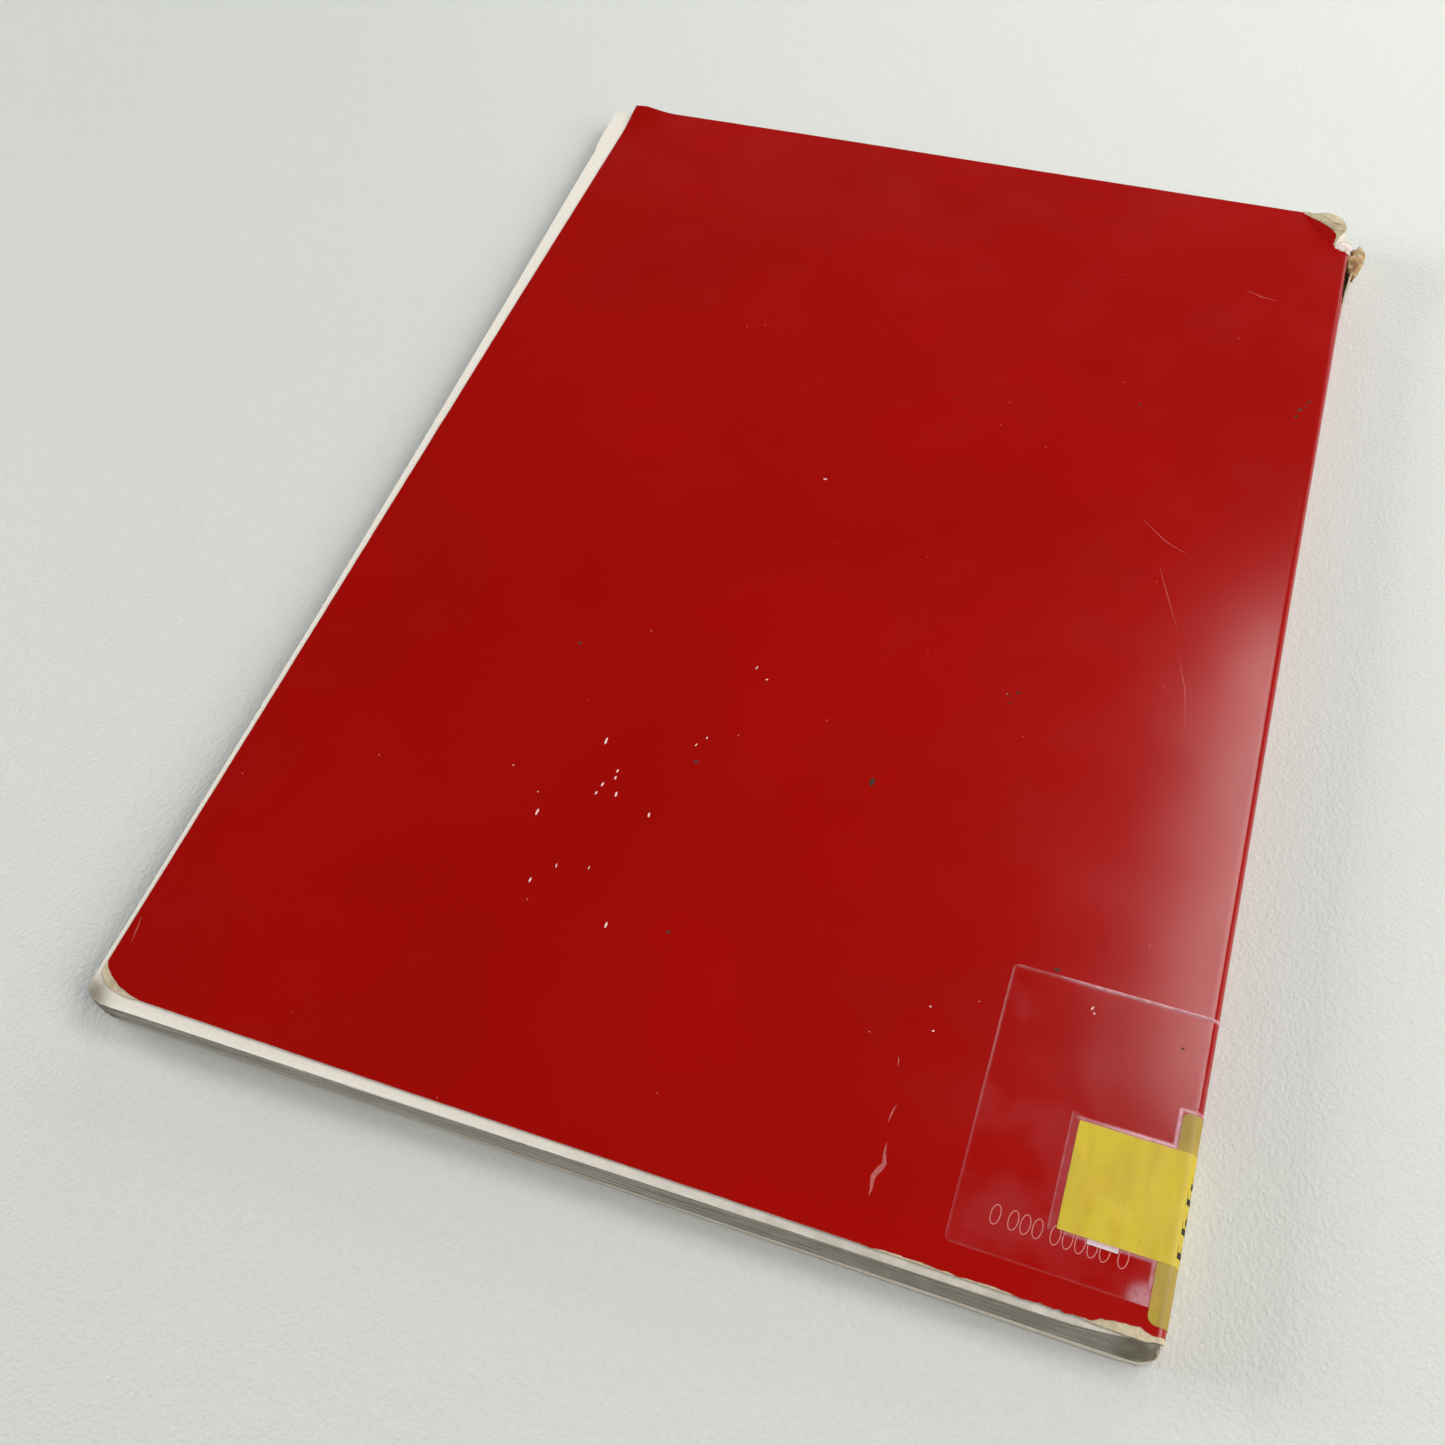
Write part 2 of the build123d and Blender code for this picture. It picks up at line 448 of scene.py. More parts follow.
def on_spine(y, z, h):
    """h outside the spine's film. Its torn head leans out and is crumpled."""
    peel = bpy.context.scene.softback_sizes.spine_peel / MM
    reach = between(y, SPINE_PEEL)
    lean = peel * reach * max(0.0, (z - 1.6) / 5.0) ** 0.8
    crumple = smooth(y, 268, 282) * 0.55 * rough(y / 2.6, z / 1.9, 3.0)
    return SPINE_X + h + swell(SPINE_X, y) * smooth(z, SPINE_LOW, SPINE_HIGH) + lean + crumple, y, z


GLUED = 0.035  # between the film and the board
SPINE_LOW, SPINE_HIGH = 1.7, 4.6  # where the spine panel meets the two covers' folds


# ---------------------------------------------------------------- materials


def open_material(name):
    """A new material with an empty tree. Returns it, its tree and the object coordinates in it."""
    material = bpy.data.materials.new(name)
    material.use_nodes = True
    tree = material.node_tree
    tree.nodes.clear()
    return material, tree, add(tree, "ShaderNodeTexCoord").outputs["Object"]


def close_material(tree, settings, relief=None, depth_mm=0.0, strength=1.0):
    """Ends a material with one Principled shader, its surface raised by the relief if there is one."""
    if relief is not None:
        bumps = add(tree, "ShaderNodeBump", inputs={
            "Height": relief, "Distance": depth_mm * MM, "Strength": strength})
        settings = {**settings, "Normal": bumps.outputs[0]}
    shader = add(tree, "ShaderNodeBsdfPrincipled", inputs=settings)
    add(tree, "ShaderNodeOutputMaterial", inputs={"Surface": shader.outputs[0]})


def blotches(tree, where, size_mm, limits, reach=(0.0, 1.0), detail=3.0, roughness=0.5, stretch=(1, 1, 1)):
    """A pattern of soft blotches about size_mm across: noise between the limits, spread over reach."""
    mapped = add(tree, "ShaderNodeMapping", inputs={
        "Vector": where, "Scale": tuple(1 / (size_mm * MM * s) for s in stretch)})
    cloud = add(tree, "ShaderNodeTexNoise", inputs={
        "Vector": mapped.outputs[0], "Scale": 1.0, "Detail": detail, "Roughness": roughness})
    return add(tree, "ShaderNodeMapRange", inputs={
        "Value": cloud.outputs["Fac"], "From Min": limits[0], "From Max": limits[1],
        "To Min": reach[0], "To Max": reach[1]}).outputs[0]


def mottled(tree, where, body, over, size_mm, limits, most=1.0, **details):
    """A second colour laid over the first in soft blotches, with at most the given share of it."""
    cover = blotches(tree, where, size_mm, limits, (0.0, most), **details)
    return add(tree, "ShaderNodeMix", {"data_type": "RGBA"}, {0: cover, 6: body, 7: over}).outputs[2]


def shade(code_or_colour, factor):
    """The same colour, lighter or darker."""
    colour = hex_colour(code_or_colour) if isinstance(code_or_colour, str) else code_or_colour
    return (*(min(1.0, c * factor) for c in colour[:3]), 1.0)


def gloss_laminated_print():
    """Offset-printed board under a gloss film: deep red, a clear reflection broken by years of
    fine handling scratches, with tiny pale pinholes where the film has been pricked."""
    red = tuple(bpy.context.scene.softback_colours.print_red)
    material, tree, where = open_material("gloss_laminated_print")
    # Print density drifts a little over 60 mm, and the ink has a 0.5 mm mottle.
    body = mottled(tree, where, shade(red, 0.94), shade(red, 1.06), 60, (0.3, 0.7), detail=2)
    body = mottled(tree, where, body, shade(red, 0.7), 0.5, (0.35, 0.65), 0.10, detail=2)
    # Pinholes about 0.25 mm wide, one in a few square centimetres, drawn from cells 6.5 mm apart.
    cells = add(tree, "ShaderNodeTexVoronoi", inputs={
        "Vector": where, "Scale": 1 / (6.5 * MM), "Randomness": 1.0})
    hole = add(tree, "ShaderNodeMapRange", inputs={
        "Value": cells.outputs["Distance"], "From Min": 0.028, "From Max": 0.018}).outputs[0]
    parts = add(tree, "ShaderNodeSeparateColor", inputs={0: cells.outputs["Color"]}).outputs
    chosen = add(tree, "ShaderNodeMapRange", inputs={
        "Value": parts[0], "From Min": 0.55, "From Max": 0.6, "To Max": 0.7}).outputs[0]
    pricked = add(tree, "ShaderNodeMath", {"operation": "MULTIPLY"}, {0: hole, 1: chosen}).outputs[0]
    body = add(tree, "ShaderNodeMix", {"data_type": "RGBA"}, {
        0: pricked, 6: body, 7: hex_colour("#D98A84")}).outputs[2]
    # Rubbed patches 12 to 30 mm wide and a grain of about 0.7 mm in the film.
    dull = blotches(tree, where, 19, (0.4, 0.72), (0.145, 0.19), detail=3, roughness=0.5)
    grain = blotches(tree, where, 0.7, (0.3, 0.7), (-0.012, 0.02))
    gloss = add(tree, "ShaderNodeMath", {"operation": "ADD"}, {0: dull, 1: grain}).outputs[0]
    # Orange peel 1.3 mm wide and hair scratches 0.2 mm wide that run askew.
    peel = blotches(tree, where, 1.3, (0, 1), (0, 0.6), detail=2)
    askew = add(tree, "ShaderNodeMapping", inputs={
        "Vector": where, "Rotation": (0, 0, math.radians(33))}).outputs[0]
    hair = blotches(tree, askew, 0.22, (0.62, 0.75), (0, 0.3), detail=2, stretch=(1, 60, 1))
    relief = add(tree, "ShaderNodeMath", {"operation": "ADD"}, {0: peel, 1: hair}).outputs[0]
    close_material(tree, {"Base Color": body, "Roughness": gloss, "IOR": 1.5}, relief, 0.005, 0.55)
    return material


def cover_board():
    """Solid bleached board, its core browned by age: matt, fibrous, stained along the raw edges."""
    core = tuple(bpy.context.scene.softback_colours.board)
    material, tree, where = open_material("cover_board")
    body = mottled(tree, where, shade(core, 0.78), shade(core, 1.12), 0.6, (0.3, 0.7),
                   detail=5, roughness=0.65)
    body = mottled(tree, where, body, shade("#8E7650", 0.9), 4, (0.5, 0.75), 0.55)
    fibre = blotches(tree, where, 0.6, (0, 1), detail=5, roughness=0.65)
    close_material(tree, {
        "Base Color": body, "Roughness": 0.85, "Specular IOR Level": 0.25}, fibre, 0.06, 0.7)
    return material


def inner_board():
    """The unprinted inside of the covers: smooth ivory board with a faint fibre grain."""
    material, tree, where = open_material("inner_board")
    body = mottled(tree, where, hex_colour("#DCD5C2"), hex_colour("#EAE5D6"), 0.9, (0.3, 0.7), detail=4)
    body = mottled(tree, where, body, hex_colour("#C9B78F"), 22, (0.55, 0.8), 0.35)
    fibre = blotches(tree, where, 0.9, (0, 1), detail=4, roughness=0.6)
    close_material(tree, {"Base Color": body, "Roughness": 0.7, "Specular IOR Level": 0.3}, fibre, 0.02, 0.4)
    return material


def uncoated_paper():
    """Uncoated book paper: soft white faces, and dark grey-brown trimmed edges that show the
    leaves as fine streaks, darkened partly by the dirt of many hands and partly as painted shade."""
    colours = bpy.context.scene.softback_colours
    face, edge = tuple(colours.page), tuple(colours.page_edge)
    material, tree, where = open_material("uncoated_paper")
    page = mottled(tree, where, shade(face, 0.95), shade(face, 1.03), 0.8, (0.3, 0.7), detail=4)
    page = mottled(tree, where, page, shade(face, 0.88), 30, (0.4, 0.8), 0.25, detail=2)
    # Edge streaks one leaf high and 12 to 40 mm long, then dirt in patches of 7 mm.
    # The edge colour is dark partly from grime and partly as painted shade of the cut faces.
    cut = mottled(tree, where, shade(edge, 0.55), shade(edge, 1.3), LEAF_PITCH * 1.7, (0.3, 0.7),
                  detail=2, stretch=(90, 90, 1))
    cut = mottled(tree, where, cut, shade(edge, 0.4), LEAF_PITCH * 5, (0.5, 0.68), 0.75,
                  detail=3, stretch=(60, 60, 1))
    cut = mottled(tree, where, cut, shade(edge, 0.5), 7, (0.5, 0.8), 0.5, detail=4, roughness=0.6)
    walls = add(tree, "ShaderNodeAttribute", {"attribute_name": "cut_edge"}).outputs["Fac"]
    body = add(tree, "ShaderNodeMix", {"data_type": "RGBA"}, {0: walls, 6: page, 7: cut}).outputs[2]
    # Dirt at the tail corners, and a grey darkening along the tail edge that grows towards the spine.
    soil_and_greying = add(tree, "ShaderNodeAttribute", {"attribute_name": "soil_and_greying"}).outputs["Fac"]
    patchy = blotches(tree, where, 5, (0.3, 0.6), (0.4, 1.0), detail=4)
    soiled_and_greyed = add(tree, "ShaderNodeMath", {"operation": "MULTIPLY"}, {0: soil_and_greying, 1: patchy}).outputs[0]
    body = add(tree, "ShaderNodeMix", {"data_type": "RGBA"}, {
        0: soiled_and_greyed, 6: body, 7: shade("#8B8472", 0.85)}).outputs[2]
    fibre = blotches(tree, where, 0.8, (0, 1), detail=4, roughness=0.6)
    close_material(tree, {
        "Base Color": body, "Roughness": 0.8, "Specular IOR Level": 0.25}, fibre, 0.015, 0.4)
    return material


def torn_fibre():
    """Paper fibre pulled out of the board: fluffy, nearly white, faintly pink from the print."""
    material, tree, where = open_material("torn_fibre")
    body = mottled(tree, where, hex_colour("#F1ECE4"), hex_colour("#DDBDB6"), 1.2, (0.4, 0.68))
    fluff = blotches(tree, where, 0.25, (0, 1), detail=4, roughness=0.7)
    close_material(tree, {
        "Base Color": body, "Roughness": 0.95, "Specular IOR Level": 0.15}, fluff, 0.06, 0.8)
    return material


def waxy_glue():
    """Hot-melt glue, cast in a line and torn: amber brown, waxy, a little see-through, with
    shreds of paper stuck in it."""
    glue = tuple(bpy.context.scene.softback_colours.glue)
    material, tree, where = open_material("waxy_glue")
    body = mottled(tree, where, shade(glue, 0.6), shade(glue, 1.3), 1.6, (0.35, 0.65),
                   detail=4, roughness=0.6)
    body = mottled(tree, where, body, hex_colour("#8A3F26"), 2.2, (0.56, 0.66), 0.6, detail=2)
    body = mottled(tree, where, body, hex_colour("#D2BC96"), 3.1, (0.5, 0.62), 0.75, detail=3)
    lumps = blotches(tree, where, 1.2, (0, 1), detail=5, roughness=0.6)
    close_material(tree, {
        "Base Color": body, "Roughness": 0.5, "Subsurface Weight": 0.15, "Subsurface Scale": 1.0,
        "Subsurface Radius": (0.6 * MM, 0.35 * MM, 0.15 * MM), "Specular IOR Level": 0.4}, lumps, 0.2, 0.8)
    return material


def label_paper(name, paper, stain_code):
    """Coloured label paper, slightly polished: dark fibres in the pulp, and browner streaks across
    it where glue has soaked through."""
    paper = tuple(paper)
    material, tree, where = open_material(name)
    body = mottled(tree, where, shade(paper, 0.92), shade(paper, 1.06), 0.45, (0.3, 0.7),
                   detail=4, roughness=0.65)
    body = mottled(tree, where, body, hex_colour(stain_code), 3.4, (0.42, 0.66), 0.6,
                   detail=2, stretch=(1, 5, 1))
    body = mottled(tree, where, body, shade(paper, 1.25), 6, (0.5, 0.75), 0.4, detail=2)
    body = mottled(tree, where, body, shade(paper, 0.5), 0.5, (0.72, 0.77), 0.5, detail=1)
    pulp = blotches(tree, where, 0.45, (0, 1), (0, 0.35), detail=4, roughness=0.65)
    cockle = blotches(tree, where, 2.4, (0, 1), detail=2)
    relief = add(tree, "ShaderNodeMath", {"operation": "ADD"}, {0: pulp, 1: cockle}).outputs[0]
    close_material(tree, {
        "Base Color": body, "Roughness": 0.4, "Specular IOR Level": 0.35}, relief, 0.035, 0.7)
    return material


def clear_film():
    """Clear self-adhesive film: all but unseen where it has stuck, and a milky pink painted where it stands off
    the cover at its edges and round the labels under it: partly trapped dirt, partly painted reflection off the
    lifted film."""
    material, tree, where = open_material("clear_film")
    loose = add(tree, "ShaderNodeAttribute", {"attribute_name": "loose"}).outputs["Fac"]
    patchy = blotches(tree, where, 1.6, (0.3, 0.6), (0.45, 1.0))
    veil = add(tree, "ShaderNodeMath", {"operation": "MULTIPLY"}, {0: loose, 1: patchy}).outputs[0]
    haze = blotches(tree, where, 11, (0.45, 0.75), (0.0, 0.022))
    cover = add(tree, "ShaderNodeMath", {"operation": "ADD", "use_clamp": True}, {
        0: haze, 1: veil}).outputs[0]
    ripple = blotches(tree, where, 2.2, (0, 1))
    close_material(tree, {"Base Color": hex_colour("#EDB4BC"), "Roughness": 0.25, "IOR": 1.47, "Alpha": cover},
                   ripple, 0.02, 0.4)
    return material


def plain_ink(name, code, roughness, size_mm, spread):
    """Ink, dirt or bared board in a mark too small to show more than its tone."""
    material, tree, where = open_material(name)
    body = mottled(tree, where, shade(code, 1 - spread), shade(code, 1 + spread), size_mm, (0.3, 0.7),
                   detail=2)
    close_material(tree, {"Base Color": body, "Roughness": roughness, "Specular IOR Level": 0.3})
    return material


def table_top():
    """Matt laminate table: pale grey with a pressed leather grain of about 0.8 mm."""
    pale = tuple(bpy.context.scene.softback_colours.table)
    material, tree, where = open_material("table_top")
    body = mottled(tree, where, shade(pale, 0.965), shade(pale, 1.02), 0.8, (0.3, 0.7), roughness=0.55)
    body = mottled(tree, where, body, shade(pale, 0.97), 90, (0.3, 0.7), 0.4, detail=2)
    grain = blotches(tree, where, 0.8, (0, 1), roughness=0.55)
    close_material(tree, {"Base Color": body, "Roughness": 0.55, "Specular IOR Level": 0.3}, grain, 0.2, 1.0)
    return material


def finish(name, maker, *details):
    """The named material, made the first time that it is asked for."""
    return bpy.data.materials.get(name) or maker(*details)


# ---------------------------------------------------------------- pieces


def back_outline(film):
    """Flat outline of the back cover, of its film or of its board."""
    low, head = back_run(SPINE_HIGH), COVER_HEIGHT
    if film:
        edge = ragged([(10.9, 0.25), (60, 0.1), (120, 0.14), (157, 0.2)], 1.6, 0.05, 6, 1)
        edge += ragged([(157, 0.2), (163, 0.45), (172, 0.3), (180, 0.45), (182, 0.25)], 0.45, 0.2, 2.2, 2)
        edge += ragged([(182, 0.25), (194.5, 0.25), (196.0, 1.0), (199, 1.5), (202.6, 1.8), (204.4, 1.1),
                        (206, 1.5), (low, 1.4)], 0.35, 0.3, 1.1, 3)
        edge += ragged([(low, 1.0), (low, 256), (207.3, 262), (206.6, 268), (206.4, 276), (206.5, 282.6)],
                       1, 0.0, 3, 4)
        edge += ragged([(206.5, 282.6), (205, 283.5), (203.2, 284.0), flap(0.1, 0.3), flap(1.0, 1.3),
                        flap(1.9, 2.4)], 0.35, 0.18, 0.9, 5)
        edge += ragged([flap(1.9, 2.4), flap(3.8, 2.6), flap(6, 2.3), flap(9, 1.7), flap(12, 0.9),
                        flap(15.0, 0.2)], 0.4, 0.12, 1.3, 6)
        edge += ragged([(192.2, head - 0.05), (130, head - 0.1), (70, head - 0.05), (12, head - 0.25),
                        (1.2, head)], 2, 0.05, 8, 7)
        edge += ragged([(0.25, head - 0.8), (0, 200), (0.1, 100), (0.15, 5.7)], 3, 0.05, 9, 8)
        edge += ragged([(0.15, 5.7), (1.0, 4.5), (2.6, 3.1), (4.9, 1.8), (7.8, 0.8), (10.9, 0.25)],
                       0.5, 0.12, 1.6, 9)
        return edge
    edge = ragged([(8.6, 0.05), (11.5, 0.5), (60, 0.5), (120, 0.5), (155, 0.5), (157.5, 0.12), (181, 0.1),
                   (183, 0.45), (192, 0.45), (194.5, 0.05)], 1.6, 0.04, 5, 11)
    edge += ragged([(194.5, 0.05), (204, -0.1), (205.4, 0.3), (low, 0.7)], 0.5, 0.12, 1.6, 12)
    edge += ragged([(low, 0.7), (low, 256), (207.4, 262), (206.7, 268), (206.5, 276), (206.6, 282.8)],
                   1, 0.0, 3, 13)
    edge += ragged([(206.8, 282.8), (205.3, 284.2), (203.6, 284.6), flap(0.2, 0.7), flap(0.9, 2.6),
                    flap(1.3, 4.8)], 0.35, 0.22, 0.8, 14)
    edge += ragged([flap(1.3, 4.8), flap(3.4, 6.2), flap(6.6, 5.9), flap(9.2, 4.6)], 0.4, 0.2, 1.1, 15)
    edge += ragged([flap(9.2, 4.6), flap(12.2, 2.0), (193.6, head - 0.1), (192, head)], 0.5, 0.12, 1.2, 16)
    edge += ragged([(192, head), (130, head - 0.05), (70, head), (12, head - 0.2), (1.0, head)],
                   2, 0.04, 8, 17)
    edge += ragged([(0.2, head - 0.7), (0, 200), (0.05, 100), (0.05, 4.4)], 3, 0.05, 9, 18)
    edge += ragged([(0.05, 4.4), (0.5, 3.1), (1.7, 1.8), (3.6, 0.8), (6.2, 0.2), (8.6, 0.05)],
                   0.5, 0.12, 1.2, 19)
    return edge


def back_inner():
    """Inner points of the back cover: close at its edges, its fold and its torn corner."""
    low, head = back_run(SPINE_HIGH), COVER_HEIGHT
    points = grid_points(graded(4, 202.6, 1.5, 6.5), graded(4, head - 4, 1.5, 7))
    points += grid_points((0.7, 1.6, 2.7), np.arange(1, head, 1.3))
    points += grid_points(np.arange(4, 203, 1.3), (0.8, 1.6, 2.7, head - 2.7, head - 1.6, head - 0.8))
    points += grid_points(np.arange(204.1, low - 0.2, 0.32), np.arange(1.5, 283, 1.0))
    points = [p for p in points if not (p[0] > 191 and p[1] > 281)]
    return points + grid_points(np.arange(191.2, low, 0.45), np.arange(281.2, head, 0.45))


def line_inside(card):
    """Gives the low face of a cover's board, which is the inner one, its own finish."""
    card.data.materials.append(finish("inner_board", inner_board))
    half = len(card.data.vertices) // 2
    for face in card.data.polygons:
        if all(i >= half for i in face.vertices):
            face.material_index = 1


def build_back_cover():
    """The back cover's board and its film, each with the fold to the spine."""
    board = plate("back_card", back_outline(False), back_inner(), on_back, -FILM - BOARD, -FILM - GLUED,
                  finish("cover_board", cover_board))
    line_inside(board)
    film = plate("back_print", back_outline(True), back_inner(), on_back, -FILM, 0,
                 finish("gloss_laminated_print", gloss_laminated_print))
    for piece, node, slot in (
            (board, "back_cover", "cover_card"), (film, "back_laminate", "gloss_laminate")):
        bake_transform(piece)
        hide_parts(node)


def build_front_cover():
    """The front cover's board and its film, each with the fold to the spine."""
    high = front_run(SPINE_LOW)
    left, tail, head = PAGE_LEFT, PAGE_TAIL, PAGE_TAIL + COVER_HEIGHT
    for name, inset, low, top, maker, node, slot in (
            ("front_card", 0.0, -FILM - BOARD, -FILM - GLUED, cover_board, "front_cover", "cover_card"),
            ("front_print", 0.25, -FILM, 0.0, gloss_laminated_print, "front_laminate", "gloss_laminate")):
        outline = ragged([(left + 4 + inset, tail + inset), (100, tail + inset * 0.4), (200, tail + inset * 0.6),
                          (204.4, tail + 0.3 + inset), (206.2, tail + 1.4 + inset), (high, tail + 2.4 + inset)],
                         1.2, 0.08, 2.5, 21)
        outline += ragged([(high, tail + 2.4 + inset), (high, head - 1.5)], 1, 0, 3, 22)
        outline += ragged([(high, head - 1.5), (206, head - inset), (100, head), (left + 1, head - inset)],
                          2, 0.08, 4, 23)
        outline += ragged([(left + inset, head - 1), (left + inset * 0.4, 150),
                           (left + inset, tail + 4 + inset)], 3, 0.06, 7, 24)
        outline += ragged([(left + inset, tail + 4 + inset), (left + 1.1 + inset, tail + 1.2 + inset),
                           (left + 4 + inset, tail + inset)], 0.5, 0.15, 1.4, 25)
        inner = grid_points(graded(left + 0.7, 204.8, 0.9, 8), graded(tail + 0.7, head - 0.7, 0.9, 9))
        inner += grid_points(np.arange(205.1, high - 0.2, 0.26), np.arange(tail + 1.2, head - 1, 1.0))
        # The flat layout is read from above and the cover faces down, so it is laid out mirrored.
        mirrored = [(-x, y) for x, y in reversed(outline)]
        piece = plate(name, mirrored, [(-x, y) for x, y in inner], lambda x, y, h: on_front(-x, y, h),
                      low, top, finish(maker.__name__, maker))
        if name == "front_card":
            line_inside(piece)
        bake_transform(piece)
        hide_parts(node)


def build_spine():
    """The spine's board and its film, torn and leaning out at the head."""
    # The film laps a little over both folds, so that no board shows between the films.
    for name, inset, lap, low, top, maker, node, slot in (
            ("spine_card", 0.0, 0.0, -FILM - BOARD, -FILM - GLUED, cover_board,
             "spine_panel", "cover_card"),
            ("spine_print", 0.35, 0.2, -FILM, -0.004, gloss_laminated_print,
             "spine_laminate", "gloss_laminate")):
        foot, crown = SPINE_LOW - lap, SPINE_HIGH + lap
        outline = ragged([(1.2 + inset, foot), (282, foot)], 1, 0, 4, 31)
        outline += ragged([(282, foot), (286.4 - 2 * inset, 2.4), (287.8 - 2 * inset, 3.6),
                           (286.8 - 2 * inset, 5.0), (283, 5.6 - inset)], 0.5, 0.28, 1.5, 32)
        outline += ragged([(283, 5.6 - inset), (277, 6.6 - inset), (270, 6.7 - inset), (264, 6.0 - inset),
                           (257, crown)], 0.6, 0.16, 1.8, 33)
        outline += ragged([(256, crown), (1.2 + inset, crown)], 1, 0, 4, 34)
        outline += ragged([(1.2 + inset, crown), (1.7 + inset, 3.2), (1.2 + inset, foot)], 0.4, 0.15, 1.0, 35)
        inner = grid_points(np.arange(2.2, 289, 1.0), np.arange(2.2, 7, 0.55))
        piece = plate(name, outline, inner, on_spine, low, top, finish(maker.__name__, maker))
        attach(piece, "binding")
        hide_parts(node)


def leaf_stack_tree():
    """Geometry nodes that pile up leaves, each turned a little more than the one below it and
    slipped a little to one side."""
    tree = new_tree("leaf_stack", (
        ("Leaf", "NodeSocketObject"), ("Leaves", "NodeSocketInt"), ("Corner", "NodeSocketVector"),
        ("Pitch", "NodeSocketFloat"), ("First turn", "NodeSocketFloat"), ("Turn step", "NodeSocketFloat"),
        ("Slip", "NodeSocketFloat"), ("Seed", "NodeSocketInt"), ("Paper", "NodeSocketMaterial")))
    given = add(tree, "NodeGroupInput").outputs
    rise = add(tree, "ShaderNodeCombineXYZ", inputs={"Z": given["Pitch"]}).outputs[0]
    places = add(tree, "GeometryNodeMeshLine", {"mode": "OFFSET"}, {
        "Count": given["Leaves"], "Start Location": given["Corner"], "Offset": rise}).outputs[0]
    index = add(tree, "GeometryNodeInputIndex").outputs[0]
    turn = add(tree, "ShaderNodeMath", {"operation": "MULTIPLY_ADD"}, {
        0: index, 1: given["Turn step"], 2: given["First turn"]}).outputs[0]
    spin = add(tree, "ShaderNodeCombineXYZ", inputs={"Z": turn}).outputs[0]
    leaf = add(tree, "GeometryNodeObjectInfo", {"transform_space": "ORIGINAL"}, {
        "Object": given["Leaf"], "As Instance": True}).outputs["Geometry"]
    pile = add(tree, "GeometryNodeInstanceOnPoints", inputs={
        "Points": places, "Instance": leaf, "Rotation": spin}).outputs[0]
    least = add(tree, "ShaderNodeMath", {"operation": "MULTIPLY"}, {0: given["Slip"], 1: -1.0}).outputs[0]
    low = add(tree, "ShaderNodeCombineXYZ", inputs={"X": least, "Y": least}).outputs[0]
    high = add(tree, "ShaderNodeCombineXYZ", inputs={"X": given["Slip"], "Y": given["Slip"]}).outputs[0]
    slip = add(tree, "FunctionNodeRandomValue", {"data_type": "FLOAT_VECTOR"}, {
        "Min": low, "Max": high, "Seed": given["Seed"]}).outputs[0]
    pile = add(tree, "GeometryNodeTranslateInstances", inputs={
        "Instances": pile, "Translation": slip}).outputs[0]
    solid = add(tree, "GeometryNodeRealizeInstances", inputs={"Geometry": pile}).outputs[0]
    solid = add(tree, "GeometryNodeSetMaterial", inputs={
        "Geometry": solid, "Material": given["Paper"]}).outputs[0]
    add(tree, "NodeGroupOutput", inputs={"Geometry": solid})
    return tree


def leaf_rows():
    """Places of the leaf's inner points up its height."""
    return graded(1.4, COVER_HEIGHT - 1.4, 2.2, 26)


def leaf_outline():
    """One leaf, flat, from its own tail and fore-edge corner, which is worn round and frayed."""
    w, h = LEAF_WIDTH, COVER_HEIGHT
    edge = [(x, 0) for x in np.arange(4.2, w - 4, 3.0)]
    edge += [(w - 4 + 4 * math.sin(a), 3 - 3 * math.cos(a)) for a in np.linspace(0, math.pi / 2, 9)]
    # As close together as the inner points, or long triangles would cut across the bend.
    edge += [(w, y) for y in leaf_rows() if y > 3.5]
    edge += [(w - 0.8, h)] + [(x, h) for x in np.arange(w - 4, 4, -6.0)] + [(0.8, h), (0, h - 0.8)]
    edge += [(0, y) for y in np.linspace(h - 1.5, 4.2, 98)[:-1]]
    edge += ragged([(0, 4.2), (0.35, 2.3), (1.2, 1.1), (2.4, 0.4), (4.2, 0)], 0.35, 0.16, 0.9, 43)
    return edge


def soil_and_greying(x, y):
    """Share of dirt on a leaf at both tail corners, and of a grey darkening along the tail edge that grows towards
    the spine.
    """
    corners = smooth(7.5 - math.hypot(x, y), 0, 5) + 0.8 * smooth(9 - math.hypot(LEAF_WIDTH - x, y), 0, 6)
    return corners + 0.55 * (1 - smooth(y, 0.5, 3.5)) * smooth(x, 60, 170)


def build_leaves():
    """The sections of leaves, the first of them fixed to the binding."""
    sizes = bpy.context.scene.softback_sizes
    paper = finish("uncoated_paper", uncoated_paper)
    across = graded(1.2, LEAF_WIDTH - 17, 2.0, 34)
    across += list(np.arange(LEAF_WIDTH - 16, LEAF_WIDTH - 0.3, 1.0))
    origin = at(0, 0, 0)
    leaf = plate(
        "leaf_pattern", leaf_outline(), grid_points(across, leaf_rows()),
        lambda x, y, h: ((x * MM - origin.x) / MM, (y * MM - origin.y) / MM, h),
        0, LEAF_PITCH - LEAF_GAP, paper, {"soil_and_greying": soil_and_greying}, gap=0.3)
    tree = leaf_stack_tree()
    first, last = math.radians(0.15), math.radians(0.46)
    step = (last - first) / (SECTIONS * LEAVES - 1)
    for k in range(SECTIONS):
        stack = grow(f"leaves_{k + 1}", tree, {
            "Leaf": leaf, "Leaves": LEAVES,
            "Corner": at(PAGE_LEFT, PAGE_TAIL, LEAF_BASE + k * LEAVES * LEAF_PITCH),
            "Pitch": LEAF_PITCH * MM, "First turn": first + k * LEAVES * step, "Turn step": step,
            "Slip": sizes.slipped_leaves, "Seed": sizes.leaf_seed + k, "Paper": paper})
        settle(stack.data)
        if k == 0:
            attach(stack, "binding")
        else:
            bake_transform(stack)
        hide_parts(f"leaf_section_{k + 1}")
    bpy.data.objects.remove(leaf)


